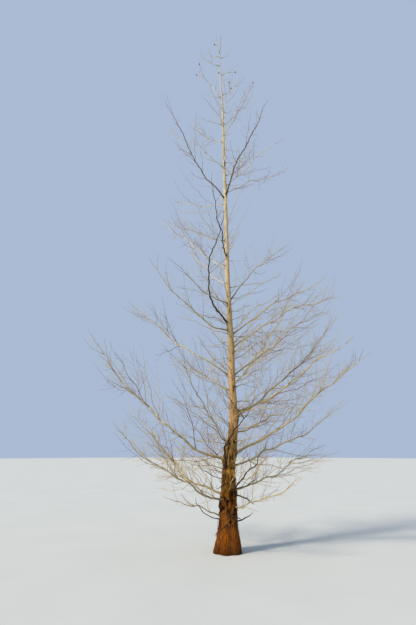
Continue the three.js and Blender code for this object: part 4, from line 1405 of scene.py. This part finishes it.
def grow_crown(lines, main, standing, rng):
    """All orders of shoots, from the solid tree's main twigs on, and the long shoots from the low trunk."""
    inner = inner_lines(standing, rng)
    boxes, whole = mass_boxes()
    boxes = np.concatenate([boxes, np.tile(whole, (len(inner), 1, 1))])
    bearers = lines + inner
    share = np.linspace(0, 1, LIMB_SAMPLES)
    wood = np.stack([line.at(share, kinked=True) for line in bearers])
    widths = np.stack([line.width(share) for line in bearers])
    lengths = np.linalg.norm(np.diff(wood, axis=1), axis=2).sum(1)
    starts = [(trunk_width(line.limb.base) / 2 + FIRST_SIDE) / line.limb.reach for line in bearers]
    first = np.array(starts).clip(0, LATEST_SIDE)
    orders = [main, make_forks(lines)]
    for rule in (BRANCHLETS, SHORT_SHOOTS):
        side, owner = sprout(wood, widths, lengths, first, rule, rng)
        side["limb"] = owner
        deal_tints(side, rng)
        orders.append(keep_clear(side, boxes, standing))
    twigs = np.concatenate(orders)
    twigs = np.concatenate([twigs, grow_on(twigs, TWIG_STEPS, SPRIGS, boxes, standing, rng)])
    twiglets = grow_on(twigs, TWIG_STEPS, TWIGLETS, boxes, standing, rng)
    tiplets = grow_on(twiglets, TWIGLET_STEPS, TIPLETS, boxes, standing, rng)
    return twigs, twiglets, tiplets, inner


def bark_kind(i, line):
    """The bark of a limb or shoot: dark or grey as painted shade where it is listed, dark on the old shoots
    round the foot, partly as painted shade, and otherwise by the height at which it leaves the trunk."""
    if i in PAINTED_SHADE_LIMBS or line.hooked and line.limb.base < DARK_SHOOT_TOP:
        return "dark"
    if i in GREY_PAINTED_SHADE_LIMBS:
        return "grey"
    if line.limb.base >= HIGH_LIMB:
        return "high"
    return "pale" if i < len(BOUGHS) else "low"


def make_limbs(lines, mass_twigs, inner):
    """Skins of the boughs, a piece each, and of the branches and the trunk's shoots, joined by their bark. A
    limb swells where it bears one of the longer twigs."""
    barks = {
        "pale": limb_bark("flaking_bough_bark", "#cfc39a", "#8f7f54", 0.9),
        "low": limb_bark("flaking_branch_bark", "#cabc8e", "#8a784c", 0.35),
        "high": limb_bark("smooth_high_bark", "#ddd5bf", "#a4977e", 0.12, "#b4b09c"),
        # painted shade: this grey bark darkens two high boughs as if seen on their shaded sides
        "grey": limb_bark("painted_shade_grey_bark", "#807664", "#4c4238", 0.3, "#5e5a4e", "#3a2c1c"),
        # painted shade: this dark bark stands for limbs seen on their shaded sides
        "dark": limb_bark("painted_shade_dark_bark", "#3a2a18", "#150d06", 0.2, "#40372a", "#3c2410"),
    }
    joined = {"low": [], "high": [], "dark": []}
    for i, (line, twigs) in enumerate(zip(lines, mass_twigs)):
        is_bough = i < len(BOUGHS)
        at = twigs["share"][twigs["length"] > FINE_TWIGS.most]
        knots = mix(BOUGH_SHARE if is_bough else 0.0, 1, at)
        ring, sides = (BOUGH_RING, BOUGH_SIDES) if is_bough else (BRANCH_RING, BRANCH_SIDES)
        skin = limb_skin(line, LIMB_NOISE + 2 * i, ring, sides, knots)
        kind = bark_kind(i, line)
        if is_bough:
            name = f"bough_{i + 1:02d}"
            make_piece(f"{name}_bark", skin, [barks[kind]], [name, mass_name(i)])
        else:
            joined[kind].append((skin, i))
    hooked = [LimbLine(limb, HOOKED_SEED + i, hooked=True) for i, limb in enumerate(TRUNK_SHOOTS)]
    for i, line in enumerate(hooked + inner):
        skin = limb_skin(line, SHOOT_NOISE + 2 * i, SHOOT_RING, SHOOT_SIDES, SHOOT_KNOT)
        number = len(LIMBS) + i
        joined[bark_kind(number, line)].append((skin, number))
    for kind, parts in joined.items():
        skins, numbers = zip(*parts)
        make_piece(f"{kind}_branches", join(skins), [barks[kind]], mass_names(numbers))


def make_crown():
    """Limbs, twigs, buds and cones. The solid tree's own twigs are grown first, in its order of draws."""
    lines = [LimbLine(limb, LIMB_SEED + i) for i, limb in enumerate(LIMBS)]
    mass_twigs, standing = grow_solid_twigs(lines)
    main = np.concatenate(mass_twigs)
    rng = np.random.default_rng(CROWN_SEED)
    deal_tints(main, rng)
    carries = cone_twigs(main)
    main["width"][carries] = np.maximum(main["width"][carries], CONE_TWIG_WIDTH)
    twigs, twiglets, tiplets, inner = grow_crown(lines, main, standing, rng)
    barks = [twig_bark(tint) for tint in TINT_NAMES]
    make_shoots("twigs", twigs, TWIG_STEPS, TWIG_SIDES, barks)
    make_shoots("twiglets", twiglets, TWIGLET_STEPS, FINE_SIDES, barks)
    make_shoots("tiplets", tiplets, TIPLET_STEPS, FINE_SIDES, barks)
    make_buds(np.concatenate([twigs, twiglets]), twigs[twigs["length"] > BUDDED_LENGTH], bud_scales())
    make_cones(main[carries], cone_scales(), barks[TINT_NAMES.index("dark")])
    make_limbs(lines, mass_twigs, inner)


def make_camera():
    """A wide view from eye height, tilted up to the top of the tree."""
    camera = bpy.data.cameras.new("camera")
    camera.sensor_width = SENSOR_WIDTH
    camera.lens = SENSOR_WIDTH * FOCAL_SHARE
    made = put("camera", camera)
    made.location = CAMERA_PLACE
    made.rotation_euler = (math.radians(90 + CAMERA_TILT), 0, math.radians(CAMERA_YAW))
    bpy.context.scene.camera = made


def make_studio():
    """A pale floor, an even pale surround, and one broad soft light from the left, high and behind the
    camera."""
    floor, tree, shader = new_material("matt_floor_paint")
    place = add(tree, "TexCoord", gives="Object")
    mottle = add(tree, "TexNoise", {"Vector": place, "Scale": 0.8, "Detail": 3.0})
    dark, light = linear("#bcc0bd"), linear("#c6c9c6")
    tone = add(tree, "Mix", {"Factor": mottle, MIX_A: dark, MIX_B: light}, data_type="RGBA")
    feed(tree, shader, {"Base Color": tone, "Roughness": 0.95})
    mesh = bpy.data.meshes.new("floor")
    turn = 2 * math.pi * np.arange(FLOOR_CORNERS) / FLOOR_CORNERS
    rim = FLOOR_RADIUS * np.stack([np.cos(turn), np.sin(turn), 0 * turn], -1)
    mesh.from_pydata(rim.tolist(), [], [list(range(FLOOR_CORNERS))])
    mesh.materials.append(floor)
    put("floor", mesh)

    sun = bpy.data.lights.new("key", "SUN")
    sun.energy = 4.0
    sun.angle = math.radians(9)
    sun.color = linear("#fff1dd")[:3]
    put("key", sun).rotation_euler = (math.radians(50), 0, math.radians(-54))

    world = bpy.data.worlds.new("surround")
    world.use_nodes = True
    background = world.node_tree.nodes["Background"]
    background.inputs["Color"].default_value = linear("#aebfd8")
    background.inputs["Strength"].default_value = 0.95
    bpy.context.scene.world = world
    bpy.context.scene.view_settings.view_transform = "Standard"


make_camera()
make_studio()
make_trunk(trunk_bark())
make_loose_bark(loose_bark())
make_crown()
